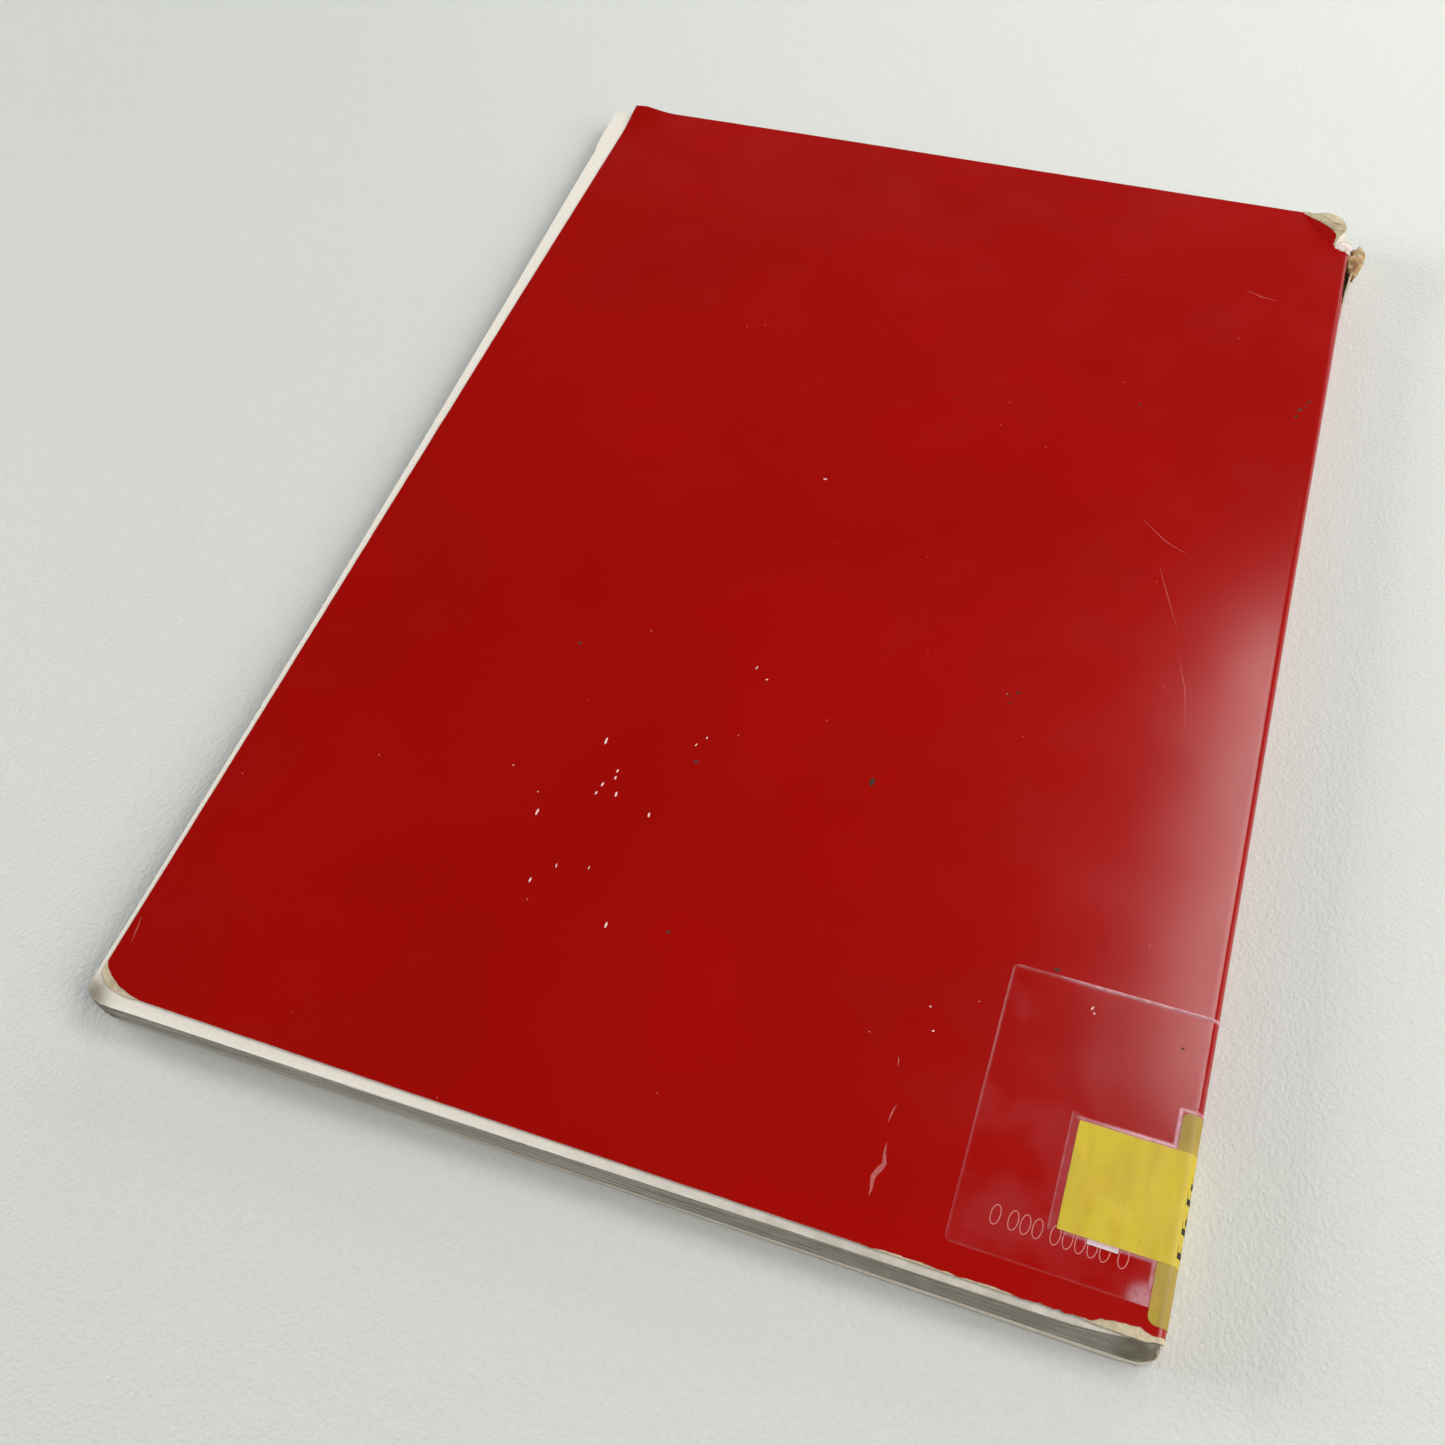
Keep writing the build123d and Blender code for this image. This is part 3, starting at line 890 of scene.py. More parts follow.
def fold_limit(z):
    """The furthest X of a leaf's spine edge at height z, inside the cover's round folds."""
    sizes = bpy.context.scene.softback_sizes
    skin = FILM + BOARD + 0.06
    limits = []
    for radius, depth in ((sizes.back_shoulder / MM, THICK - z), (sizes.front_shoulder / MM, z)):
        over = max(radius - depth, 0.0)
        limits.append(SPINE_X - radius + math.sqrt(max((radius - skin) ** 2 - over ** 2, 0.0)))
    return min(limits)


# How far the fore-edge of the upper leaves stands in or out, as (Y, distance)
LEAF_FAN = ((-3, 0.0), (40, 0.25), (90, 0.35), (140, 0.1), (200, -0.5), (240, -1.1), (272, -1.5),
            (275, -1.4), (277.5, -2.2), (297, -2.4))


def settle(mesh):
    """Leaves as long use has left them: edges that wander, leaf by leaf and in batches of a few,
    a fan towards the head with one step in it, and rubbed round corners at the spine."""
    uneven = bpy.context.scene.softback_sizes.uneven_leaves / MM
    low = at(0, 0, 0)
    for v in mesh.vertices:
        x, y, z = (v.co.x - low.x) / MM, (v.co.y - low.y) / MM, (v.co.z - low.z) / MM
        leaf = math.floor((z - LEAF_BASE) / LEAF_PITCH + 0.01)
        height = leaf / (SECTIONS * LEAVES)
        tail, fore = 1 - smooth(y, 0.5, 5), 1 - smooth(x, 0, 6)
        if tail > 0:
            wander = rough(x / 30, leaf * 3.7, 1.3) + 0.8 * rough(x / 90, leaf / 4.3, 6.1)
            wander += 0.4 * rough(x / 7, leaf * 5.1, 2.2)
            # The block is worn back in its upper part next to the spine.
            worn = 0.9 * smooth(x, 190, 205) * smooth(height, 0.3, 0.9)
            v.co.y += (uneven * wander + worn) * tail * MM
        if fore > 0:
            wander = rough(y / 30, leaf * 3.7, 9.3) + 0.8 * rough(y / 90, leaf / 4.3, 5.1)
            push = between(y, LEAF_FAN)
            v.co.x += (push * smooth(height, 0.1, 0.8) + uneven * wander) * fore * MM
        v.co.x = min(v.co.x, at(fold_limit(z), 0, 0).x)


def build_glue():
    """The line of glue behind the spine and the torn lump of it at the head."""
    outline = ragged([(1.0, 1.25), (284.5, 1.25)], 5, 0, 4, 51)
    outline += ragged([(284.5, 1.25), (286.2, 2.6), (285.4, 4.0), (286.0, 5.4)], 0.5, 0.25, 1.2, 52)
    outline += ragged([(286.0, 5.4), (1.0, 5.4)], 5, 0, 4, 53)
    outline += ragged([(1.0, 5.4), (1.3, 3.2), (1.0, 1.25)], 0.5, 0.1, 1.2, 54)
    inner = grid_points(graded(2, 284, 1.5, 9), np.arange(1.7, 5.3, 0.6))
    face = SPINE_X - FILM - BOARD - 0.03
    bead = plate("glue_line", outline, inner,
                 lambda y, z, h: (face + h * (0.82 + 0.18 * rough(y / 3, z / 2, 2)), y, z), -0.4, 0,
                 finish("waxy_glue", waxy_glue))
    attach(bead, "binding")
    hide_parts("spine_adhesive")

    made = bmesh.new()
    bmesh.ops.create_icosphere(made, subdivisions=5, radius=1.0)
    for v in made.verts:
        n = v.co.normalized()
        lumpy = 1 + 0.24 * rough(n.x * 1.7, n.y * 2.6, n.z * 1.5)
        lumpy += 0.12 * rough(n.x * 5, n.y * 6, n.z * 5)
        dent = 0.5 * smooth(0.55 - (n - Vector((0.75, -0.35, 0.55)).normalized()).length, 0, 0.55)
        size = lumpy - dent
        narrow = 1 - 0.45 * smooth(-n.y, -0.1, 0.9)
        v.co = at(208.5 + 2.2 * n.x * size * narrow + 0.5 * n.y, 281.0 + 6.4 * n.y * size,
                  5.2 + 2.3 * n.z * size)
    mesh = bpy.data.meshes.new("glue_lump")
    made.to_mesh(mesh)
    made.free()
    mesh.polygons.foreach_set("use_smooth", [True] * len(mesh.polygons))
    mesh.materials.append(finish("waxy_glue", waxy_glue))
    lump = new_object("glue_lump", mesh)
    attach(lump, "binding")


def fibre_tree():
    """Geometry nodes for fibres pulled out of a torn edge: short bent threads at each point given."""
    tree = new_tree("torn_fibres", (
        ("Points", "NodeSocketObject"), ("Length", "NodeSocketFloat"), ("Thickness", "NodeSocketFloat"),
        ("Seed", "NodeSocketInt"), ("Paper", "NodeSocketMaterial")))
    given = add(tree, "NodeGroupInput").outputs
    points = add(tree, "GeometryNodeObjectInfo", {"transform_space": "ORIGINAL"}, {
        "Object": given["Points"]}).outputs["Geometry"]
    thread = add(tree, "GeometryNodeCurveQuadraticBezier", inputs={
        "Resolution": 5, "Start": (0, 0, 0), "Middle": (0.35, 0, 0.55), "End": (1, 0, 0.35)}).outputs[0]
    scaled = add(tree, "GeometryNodeTransform", inputs={"Geometry": thread, "Scale": (1, 1, 1)})
    span = add(tree, "ShaderNodeCombineXYZ", inputs={
        "X": given["Length"], "Y": given["Length"], "Z": given["Length"]}).outputs[0]
    tree.links.new(span, scaled.inputs["Scale"])
    profile = add(tree, "GeometryNodeCurvePrimitiveCircle", inputs={
        "Resolution": 4, "Radius": given["Thickness"]}).outputs[0]
    solid = add(tree, "GeometryNodeCurveToMesh", inputs={
        "Curve": scaled.outputs[0], "Profile Curve": profile, "Fill Caps": True}).outputs[0]
    spin = add(tree, "FunctionNodeRandomValue", {"data_type": "FLOAT_VECTOR"}, {
        "Min": (-0.9, -0.9, 0.0), "Max": (0.9, 0.6, 2 * math.pi), "Seed": given["Seed"]}).outputs[0]
    size = add(tree, "FunctionNodeRandomValue", {"data_type": "FLOAT"}, {
        2: 0.35, 3: 1.2, "Seed": given["Seed"]}).outputs[1]
    tufts = add(tree, "GeometryNodeInstanceOnPoints", inputs={
        "Points": points, "Instance": solid, "Rotation": spin, "Scale": size}).outputs[0]
    made = add(tree, "GeometryNodeRealizeInstances", inputs={"Geometry": tufts}).outputs[0]
    made = add(tree, "GeometryNodeSetMaterial", inputs={
        "Geometry": made, "Material": given["Paper"]}).outputs[0]
    add(tree, "NodeGroupOutput", inputs={"Geometry": made})
    return tree


def fibres(name, roots, tree, length_mm, thickness_mm, seed, material):
    """Torn fibres that grow at the given points."""
    mesh = bpy.data.meshes.new(name + "_roots")
    mesh.from_pydata(roots, [], [])
    holder = new_object(name + "_roots", mesh)
    made = grow(name, tree, {
        "Points": holder, "Length": length_mm * MM, "Thickness": thickness_mm * MM, "Seed": seed,
        "Paper": material})
    bpy.data.objects.remove(holder)
    return made


def build_torn_head():
    """The split layers of board on the torn corner, the bared pulp beside them, and loose fibres."""
    board = finish("cover_board", cover_board)
    pulp = finish("torn_fibre", torn_fibre)
    # Each layer: outline, height over the cover, how far it crinkles, seed
    layers = (
        ([flap(13.0, 0.9), flap(9.5, 2.0), flap(6, 2.7), flap(3.2, 3.0), flap(2.0, 3.8), flap(1.9, 5.4),
          flap(4.0, 6.4), flap(7.0, 6.1), flap(9.4, 4.6), flap(11.8, 2.3)], 0.12, 0.25, 61),
        ([flap(10.8, 2.7), flap(8.4, 3.4), flap(5.6, 3.8), flap(3.9, 4.8), flap(4.9, 6.2), flap(7.1, 5.6),
          flap(9.2, 4.3)], 0.42, 0.35, 62),
    )
    for i, (path, height, lift, seed) in enumerate(layers):
        # Rooted near the ridge and standing off more towards the free edge.
        def place(x, y, h, height=height, lift=lift, seed=seed):
            d = (x - FLAP_ROOT[0]) * FLAP_OUT[0] + (y - FLAP_ROOT[1]) * FLAP_OUT[1]
            free = smooth(d, 2.5, 7.5)
            crinkle = lift * free * rough(x / 2.1, y / 2.1, seed)
            return on_back(x, y, h + height * (0.25 + 0.75 * free) + crinkle)
        outline = ragged(list(reversed(path)) + [path[-1]], 0.35, 0.18, 0.9, seed)
        spread = grid_points(np.arange(191, 209, 0.4), np.arange(283, 300, 0.4))
        sheet = plate(f"torn_layer_{i + 1}", outline, spread, place, -0.09, 0, board, gap=0.12)
        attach(sheet, "back_cover")

    def in_tear(x, y, h):
        low = THICK + 0.05 + 0.9 * smooth(2.6 - math.hypot(x - 204.8, (y - 285.0) * 1.2), 0, 2.4)
        return x, y, low + h + 0.3 * rough(x / 0.7, y / 0.7, 9)

    edge = ragged([(202.2, 284.3), (204.4, 283.3), (206.6, 282.6), (207.0, 284.6), (206.3, 287.2),
                   (204.9, 287.6), (203.3, 286.4), (202.2, 284.3)], 0.3, 0.25, 0.7, 66)
    torn = plate("torn_pulp", edge, grid_points(np.arange(202, 208, 0.3), np.arange(282, 289, 0.3)),
                 in_tear, -0.25, 0, pulp, gap=0.1)
    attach(torn, "binding")

    tree = fibre_tree()
    seed = bpy.context.scene.softback_sizes.fibre_seed
    tear = [at(*in_tear(x, y, 0)) for x, y in ragged(
        [(202.5, 284.7), (206.6, 283.6), (206.2, 286.8), (203.4, 286.2)], 0.1, 0.35, 0.6, 67)]
    tuft = fibres("torn_fibres_back", tear, tree, 0.9, 0.022, seed, pulp)
    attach(tuft, "binding")
    spine_edge = [at(*on_spine(y, z, -0.2)) for y, z in ragged(
        [(287.4, 3.4), (288.2, 5.6), (284, 6.8), (277, 6.8), (270, 6.4), (263, 5.6)], 0.3, 0.3, 0.6, 68)]
    tail_fibres = 40
    spine_edge += [
        at(SPINE_X - 0.3 + 0.3 * rough(i, 2.5), 0.9 + 0.5 * rough(i, 7.1), 1.5 + 4.6 * (i / tail_fibres))
        for i in range(tail_fibres)]
    tuft = fibres("torn_fibres_spine", spine_edge, tree, 0.8, 0.02, seed + 1, pulp)
    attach(tuft, "binding")


# Labels, in millimetres on the back cover
LABEL = (186.4, 13.1, 32.9)  # near side, tail, head
OLD_LABEL = (203.4, 2.8, 40.0)
PATCH = (168.7, 5.3, 59.0)
TAG = (191.7, 197.0, 12.2, 20.0)  # near side, far side, tail, head
PAPER = 0.08  # thickness


def inside(value, low, high, soft):
    """1 between low and high, falling to 0 over soft outside them."""
    return smooth(value, low - soft, low) * (1 - smooth(value, high, high + soft))


def line(value, place, half):
    """1 at the place, falling to 0 within about twice half on either side."""
    return math.exp(-(((value - place) / half) ** 2))


def under_label(x, y):
    """Height of what the shelf label lies on."""
    old = inside(x, OLD_LABEL[0], 999, 0.6) * inside(y, OLD_LABEL[1], OLD_LABEL[2], 0.6)
    tag = inside(x, TAG[0], TAG[1], 0.5) * inside(y, TAG[2], TAG[3], 0.5)
    return PAPER * max(old, tag)


def under_patch(x, y):
    """Height of what the clear film lies on, which it bridges at every step."""
    label = inside(x, LABEL[0], 999, 1.1) * inside(y, LABEL[1], LABEL[2], 1.1)
    return max(under_label(x, y), (under_label(x, y) + PAPER) * label)


def round_box(left, low, right, high, corner):
    """Outline of a label whose free side has round corners."""
    path = [(left + corner, low), (right, low), (right, high), (left + corner, high)]
    for i in range(1, 7):
        a = math.pi / 2 * (1 + i / 6)
        path.append((left + corner + corner * math.cos(a), high - corner + corner * math.sin(a)))
    for i in range(7):
        a = math.pi * (1 + i / 12)
        path.append((left + corner + corner * math.cos(a), low + corner + corner * math.sin(a)))
    return path


def wrap_grid(left, low, right, high, step):
    """Inner points of a label, close together where it goes over the shoulder."""
    bend = SPINE_X - 2.2
    across = list(np.arange(left + 0.3, bend, step)) + list(np.arange(bend, right, 0.3))
    return grid_points(across, np.arange(low + 0.3, high, step))


def build_labels():
    """The old label, the slip of paper, the shelf label over both and the bars on it."""
    colours = bpy.context.scene.softback_colours
    foot = back_run(0.55)
    near, low, high = OLD_LABEL
    old = plate(
        "old_label", ragged(round_box(near, low, foot, high, 1.5), 0.7, 0.03, 2, 71),
        wrap_grid(near, low, foot, high, 0.8), lambda x, y, h: on_back(x, y, h + 0.01), 0, PAPER,
        finish("browned_label", label_paper, "browned_label", colours.old_label, "#8C7426"))
    near, low, high = LABEL
    shelf = plate(
        "shelf_label", ragged(round_box(near, low, foot, high, 0.25), 0.7, 0.025, 2, 72),
        wrap_grid(near, low, foot, high, 0.7),
        lambda x, y, h: on_back(x, y, h + 0.02 + under_label(x, y)), 0, PAPER,
        finish("yellow_label", label_paper, "yellow_label", colours.shelf_label, "#BE9F22"))
    for piece, name, slot in (
            (old, "old_label", "ochre_label_paper"), (shelf, "shelf_label", "yellow_label_paper")):
        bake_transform(piece)
        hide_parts(name + "_back", name + "_spine")
    left, right, low, high = TAG
    corners = [(left, low), (right, low), (right, high), (left, high), (left, low)]
    tag = plate(
        "price_slip", ragged(corners, 0.6, 0.03, 1.5, 73),
        grid_points(np.arange(192, 197, 0.6), np.arange(12.6, 20, 0.6)),
        lambda x, y, h: on_back(x, y, h + 0.012), 0, PAPER * 0.9,
        finish("white_slip", plain_ink, "white_slip", "#D9CFD2", 0.5, 1.0, 0.05))
    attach(tag, "back_cover")
    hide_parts("price_tag")
    # Plain bars, across the label and up it, stand in for the lettering that runs over the fold.
    bars = []
    for y, length, start in (
            (15.2, 3.2, 206.3), (19.4, 2.8, 206.4), (21.2, 2.2, 206.9), (24.6, 2.8, 206.4), (27.4, 1.8, 206.8)):
        bars.append(([(start + length * i / 12, y) for i in range(13)], [0.55] * 13, False))
        bars.append(([(start + 0.4, y - 0.4 + 0.5 * i) for i in range(5)], [0.4] * 5, False))
    ink = strokes("label_bars", bars, lambda x, y, h: on_back(x, y, h + 0.02 + PAPER + under_label(x, y)), 0, 0.012,
                  finish("black_ink", plain_ink, "black_ink", "#0C0A08", 0.5, 0.4, 0.2))
    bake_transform(ink)


def runs(*parts):
    """Places along several stretches, each given as (from, to, step)."""
    return sorted({place for part in parts for place in np.arange(*part)})


def build_clear_patch():
    """The clear film stuck over the labels."""
    foot = back_run(0.75)
    left, low, high = PATCH

    def loose(x, y):
        """How strongly the milky pink shows where the film stands off: at its edges, beside and above the labels
        and at the tail corner by the spine. It is painted reflection off the lifted film, and painted highlight
        towards the spine.
        """
        side = line(x, left, 0.3) * (0.06 + 0.15 * smooth(y, 15, 50))
        # The top edge brightens towards the spine as painted highlight, where the key light's reflection lies.
        top = line(y, high, 0.45) * (0.14 + 0.8 * smooth(x, 175, 186))
        foot_edge = line(y, low, 0.25) * 0.05
        by_label = inside(y, LABEL[1] - 0.2, LABEL[2] + 0.9, 0.5)
        beside = by_label * max(0.16 * line(x, LABEL[0] - 1.35, 0.14),
                                0.04 * inside(x, LABEL[0] - 1.3, LABEL[0] - 0.1, 0.1))
        clear_of_old = 1 - smooth(x, OLD_LABEL[0] - 0.9, OLD_LABEL[0] - 0.6)
        above = line(y, LABEL[2] + 0.35, 0.3) * smooth(x, LABEL[0] - 1, LABEL[0]) * clear_of_old
        # Brighter towards the spine as painted highlight.
        above *= 0.35 + 0.5 * smooth(x, 190, 200)
        below = line(y, LABEL[1] - 0.3, 0.25) * smooth(x, LABEL[0], LABEL[0] + 2) * clear_of_old * 0.25
        by_old = inside(y, 4.4, OLD_LABEL[2] + 0.3, 0.4) * (1 - inside(y, LABEL[1], LABEL[2], 0.1))
        old = line(x, OLD_LABEL[0] - 0.4, 0.26) * by_old * (0.4 + 0.45 * smooth(y, 15, 34))
        crown = line(y, OLD_LABEL[2] + 0.35, 0.26) * inside(x, OLD_LABEL[0] - 0.2, 999, 0.3) * 0.5
        # A painted glint on the wrinkled, peeled film at the tail corner by the spine.
        corner_glint = 0.4 * smooth(3.6 - math.hypot(x - 202.4, (y - 6.0) * 0.9), 0, 3) * (
            1 - smooth(x, OLD_LABEL[0] - 0.3, OLD_LABEL[0]))
        return min(1.0, max(side, top, foot_edge, beside, above, below, old, crown, corner_glint))

    def place(x, y, h):
        curl = 0.16 * smooth(y, high - 0.9, high) * smooth(x, 172, 182)
        crease = 0.05 * line(y, 42.3 - 0.06 * (x - 188), 0.35) * smooth(x, 186, 190)
        return on_back(x, y, h + 0.03 + under_patch(x, y) + curl + crease)

    # Close together at the edges, at the steps over the labels, at the fold and on the shoulder
    across = runs((left + 0.25, left + 2, 0.25), (left + 2, 184.5, 0.9), (184.5, 187.2, 0.25), (187.2, 202, 0.7),
                  (202, back_run(4), 0.28), (back_run(4), foot, 0.8))
    up = runs((low + 0.2, low + 1.6, 0.25), (low + 1.6, 11.6, 0.7), (11.6, 13.6, 0.2), (14, 32.4, 0.9),
              (32.6, 34.6, 0.2), (35, 39.4, 0.8), (39.6, 43.6, 0.25), (44, 57.2, 0.9), (57.3, high, 0.2))
    film = plate("clear_patch", ragged(round_box(left, low, foot, high, 1.2), 0.5, 0.03, 2, 81),
                 grid_points(across, up), place, 0, 0.04, finish("clear_film", clear_film), {"loose": loose},
                 gap=0.1)
    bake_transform(film)
    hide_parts("tape_back", "tape_spine")


INK, INK_LIFT = 0.008, 0.002  # thickness of a drawn stroke, and how far it stands off the film


def build_print():
    """A row of plain rings where a number is printed in fine pale lines."""
    half_width, half_height, lean, line_half, pitch, space = 0.82, 1.75, 0.12, 0.075, 2.1, 1.0
    rings, x = [], 176.1
    for group in (1, 3, 5, 1):
        for _ in range(group):
            y = 12.2 + (x - 176) * -0.02
            path = [(x + half_width * math.cos(a) + lean * math.sin(a), y + half_height * math.sin(a))
                    for a in np.linspace(0, 2 * math.pi, 28, endpoint=False)]
            rings.append((path, [line_half] * len(path), True))
            x += pitch
        x += space
    piece = strokes("ring_row", rings, lambda x, y, h: on_back(x, y, h + INK_LIFT), 0, INK,
                    finish("pale_print", plain_ink, "pale_print", "#D07E7A", 0.35, 0.5, 0.12))
    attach(piece, "back_cover")


def chip_tree():
    """Geometry nodes that lay a small flake on each point, turned and sized by its values."""
    tree = new_tree("cover_chips", (
        ("Points", "NodeSocketObject"), ("Thickness", "NodeSocketFloat"), ("Sides", "NodeSocketInt"),
        ("Paint", "NodeSocketMaterial")))
    given = add(tree, "NodeGroupInput").outputs
    points = add(tree, "GeometryNodeObjectInfo", {"transform_space": "ORIGINAL"}, {
        "Object": given["Points"]}).outputs["Geometry"]
    flake = add(tree, "GeometryNodeMeshCylinder", inputs={
        "Vertices": given["Sides"], "Radius": 0.5, "Depth": given["Thickness"]}).outputs[0]
    turn, size = (add(tree, "GeometryNodeInputNamedAttribute", {"data_type": "FLOAT_VECTOR"}, {
        "Name": name}).outputs[0] for name in ("turn", "size"))
    laid = add(tree, "GeometryNodeInstanceOnPoints", inputs={
        "Points": points, "Instance": flake, "Rotation": turn, "Scale": size}).outputs[0]
    made = add(tree, "GeometryNodeRealizeInstances", inputs={"Geometry": laid}).outputs[0]
    made = add(tree, "GeometryNodeSetMaterial", inputs={
        "Geometry": made, "Material": given["Paint"]}).outputs[0]
    add(tree, "NodeGroupOutput", inputs={"Geometry": made})
    return tree


def chips(name, marks, tree, material):
    """Flakes given as (x, y, length, width, direction in degrees)."""
    mesh = bpy.data.meshes.new(name + "_spots")
    mesh.from_pydata([at(*on_back(x, y, 0.006)) for x, y, *_ in marks], [], [])
    turn = mesh.attributes.new("turn", "FLOAT_VECTOR", "POINT")
    turn.data.foreach_set("vector", [c for m in marks for c in (0.0, 0.0, math.radians(m[4]))])
    size = mesh.attributes.new("size", "FLOAT_VECTOR", "POINT")
    size.data.foreach_set("vector", [c for m in marks for c in (m[2] * MM, m[3] * MM, 1.0)])
    holder = new_object(name + "_spots", mesh)
    made = grow(name, tree, {
        "Points": holder, "Thickness": 0.012 * MM, "Sides": 14, "Paint": material})
    bpy.data.objects.remove(holder)
    return made


def build_marks():
    """Nicks, specks and scuffs on the back cover."""
    tree = chip_tree()
    # Each mark: X, Y, length, width and direction in degrees
    nicks = [
        (75.5, 82.9, 1.7, 0.5, 92), (80.6, 76.6, 0.8, 0.4, 80), (80.8, 74.9, 0.9, 0.45, 96),
        (78.8, 72.6, 1.1, 0.42, 85), (82.4, 71.2, 1.2, 0.45, 95), (78.3, 70.3, 0.9, 0.35, 80),
        (68.3, 62.4, 1.6, 0.45, 88), (90.7, 68.6, 1.1, 0.42, 96), (73.2, 47.4, 1.1, 0.42, 90),
        (91.5, 42.8, 1.3, 0.45, 93), (100.1, 110.4, 1.0, 0.25, 80), (103.2, 108.0, 0.6, 0.3, 20),
        (95.8, 89.9, 0.6, 0.3, 90), (94.2, 87.6, 0.7, 0.28, 70), (77.0, 52.0, 1.0, 0.22, 100),
        (83.5, 53.5, 0.8, 0.2, 90), (66.5, 66.9, 0.4, 0.25, 0), (58.9, 71.4, 0.4, 0.25, 0),
        (155.9, 45.6, 0.4, 0.3, 0), (157.6, 41.1, 0.5, 0.3, 30), (98.1, 168.0, 0.9, 0.4, 10),
        (184.4, 54.4, 0.9, 0.35, 60), (184.9, 53.5, 0.5, 0.3, 140)]
    specks = [
        (60.2, 105.5, 0.9, 0.7, 20), (95.6, 83.6, 1.0, 0.8, 0), (155.5, 120.2, 1.1, 0.5, 60),
        (154.5, 117.2, 0.8, 0.4, 80), (153.7, 118.9, 0.5, 0.4, 0), (132.0, 89.7, 2.1, 1.05, 86),
        (201.4, 221.4, 1.5, 0.7, 40), (200.8, 218.8, 1.1, 0.6, 60), (203.2, 224.6, 1.3, 0.5, 50),
        (202.6, 222.9, 0.6, 0.5, 0), (199.5, 223.4, 0.5, 0.4, 0), (164.6, 212.8, 0.8, 0.6, 0),
        (103.7, 45.1, 0.9, 0.6, 0), (176.6, 60.0, 1.1, 0.9, 30), (201.3, 51.6, 0.6, 0.5, 0),
        (121.0, 203.0, 0.5, 0.4, 0), (193.9, 13.0, 0.45, 0.4, 0)]
    pale = chips("cover_nicks", nicks, tree,
                 finish("bared_board", plain_ink, "bared_board", "#EBC9C2", 0.7, 0.6, 0.1))
    dark = chips("cover_specks", specks, tree,
                 finish("stuck_dirt", plain_ink, "stuck_dirt", "#4A2A1C", 0.8, 0.4, 0.3))
    # Each scuff: its path and its half width at each point of it
    rubs = (
        ([(155.1, 18.4), (155.2, 16.6), (155.7, 14.6), (155.0, 13.2), (154.4, 11.8), (154.7, 9.6),
          (154.6, 8.4)], [0.03, 0.22, 0.4, 0.5, 0.42, 0.2, 0.03]),
        ([(154.9, 25.6), (154.5, 23.8), (154.3, 21.9)], [0.03, 0.16, 0.03]),
        ([(152.8, 34.4), (153.1, 33.6), (153.2, 32.6)], [0.03, 0.1, 0.03]),
        ([(1.4, 16.0), (1.9, 13.6), (2.4, 10.6)], [0.02, 0.12, 0.02]),
        ([(178.0, 163.0), (181.0, 155.5), (184.5, 147.0)], [0.02, 0.08, 0.02]),
        ([(172.0, 176.0), (178.0, 171.0), (183.0, 168.6)], [0.02, 0.07, 0.02]),
        ([(183.0, 261.5), (187.5, 259.8), (191.5, 259.3)], [0.02, 0.09, 0.02]),
        ([(186.0, 140.0), (188.8, 131.0), (190.5, 121.0)], [0.02, 0.07, 0.02]))
    scuff = strokes("cover_scuffs", [(path, halves, False) for path, halves in rubs],
                    lambda x, y, h: on_back(x, y, h + INK_LIFT), 0, INK,
                    finish("rubbed_print", plain_ink, "rubbed_print", "#B85A58", 0.55, 0.8, 0.25))
    for piece in (pale, dark, scuff):
        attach(piece, "back_cover")


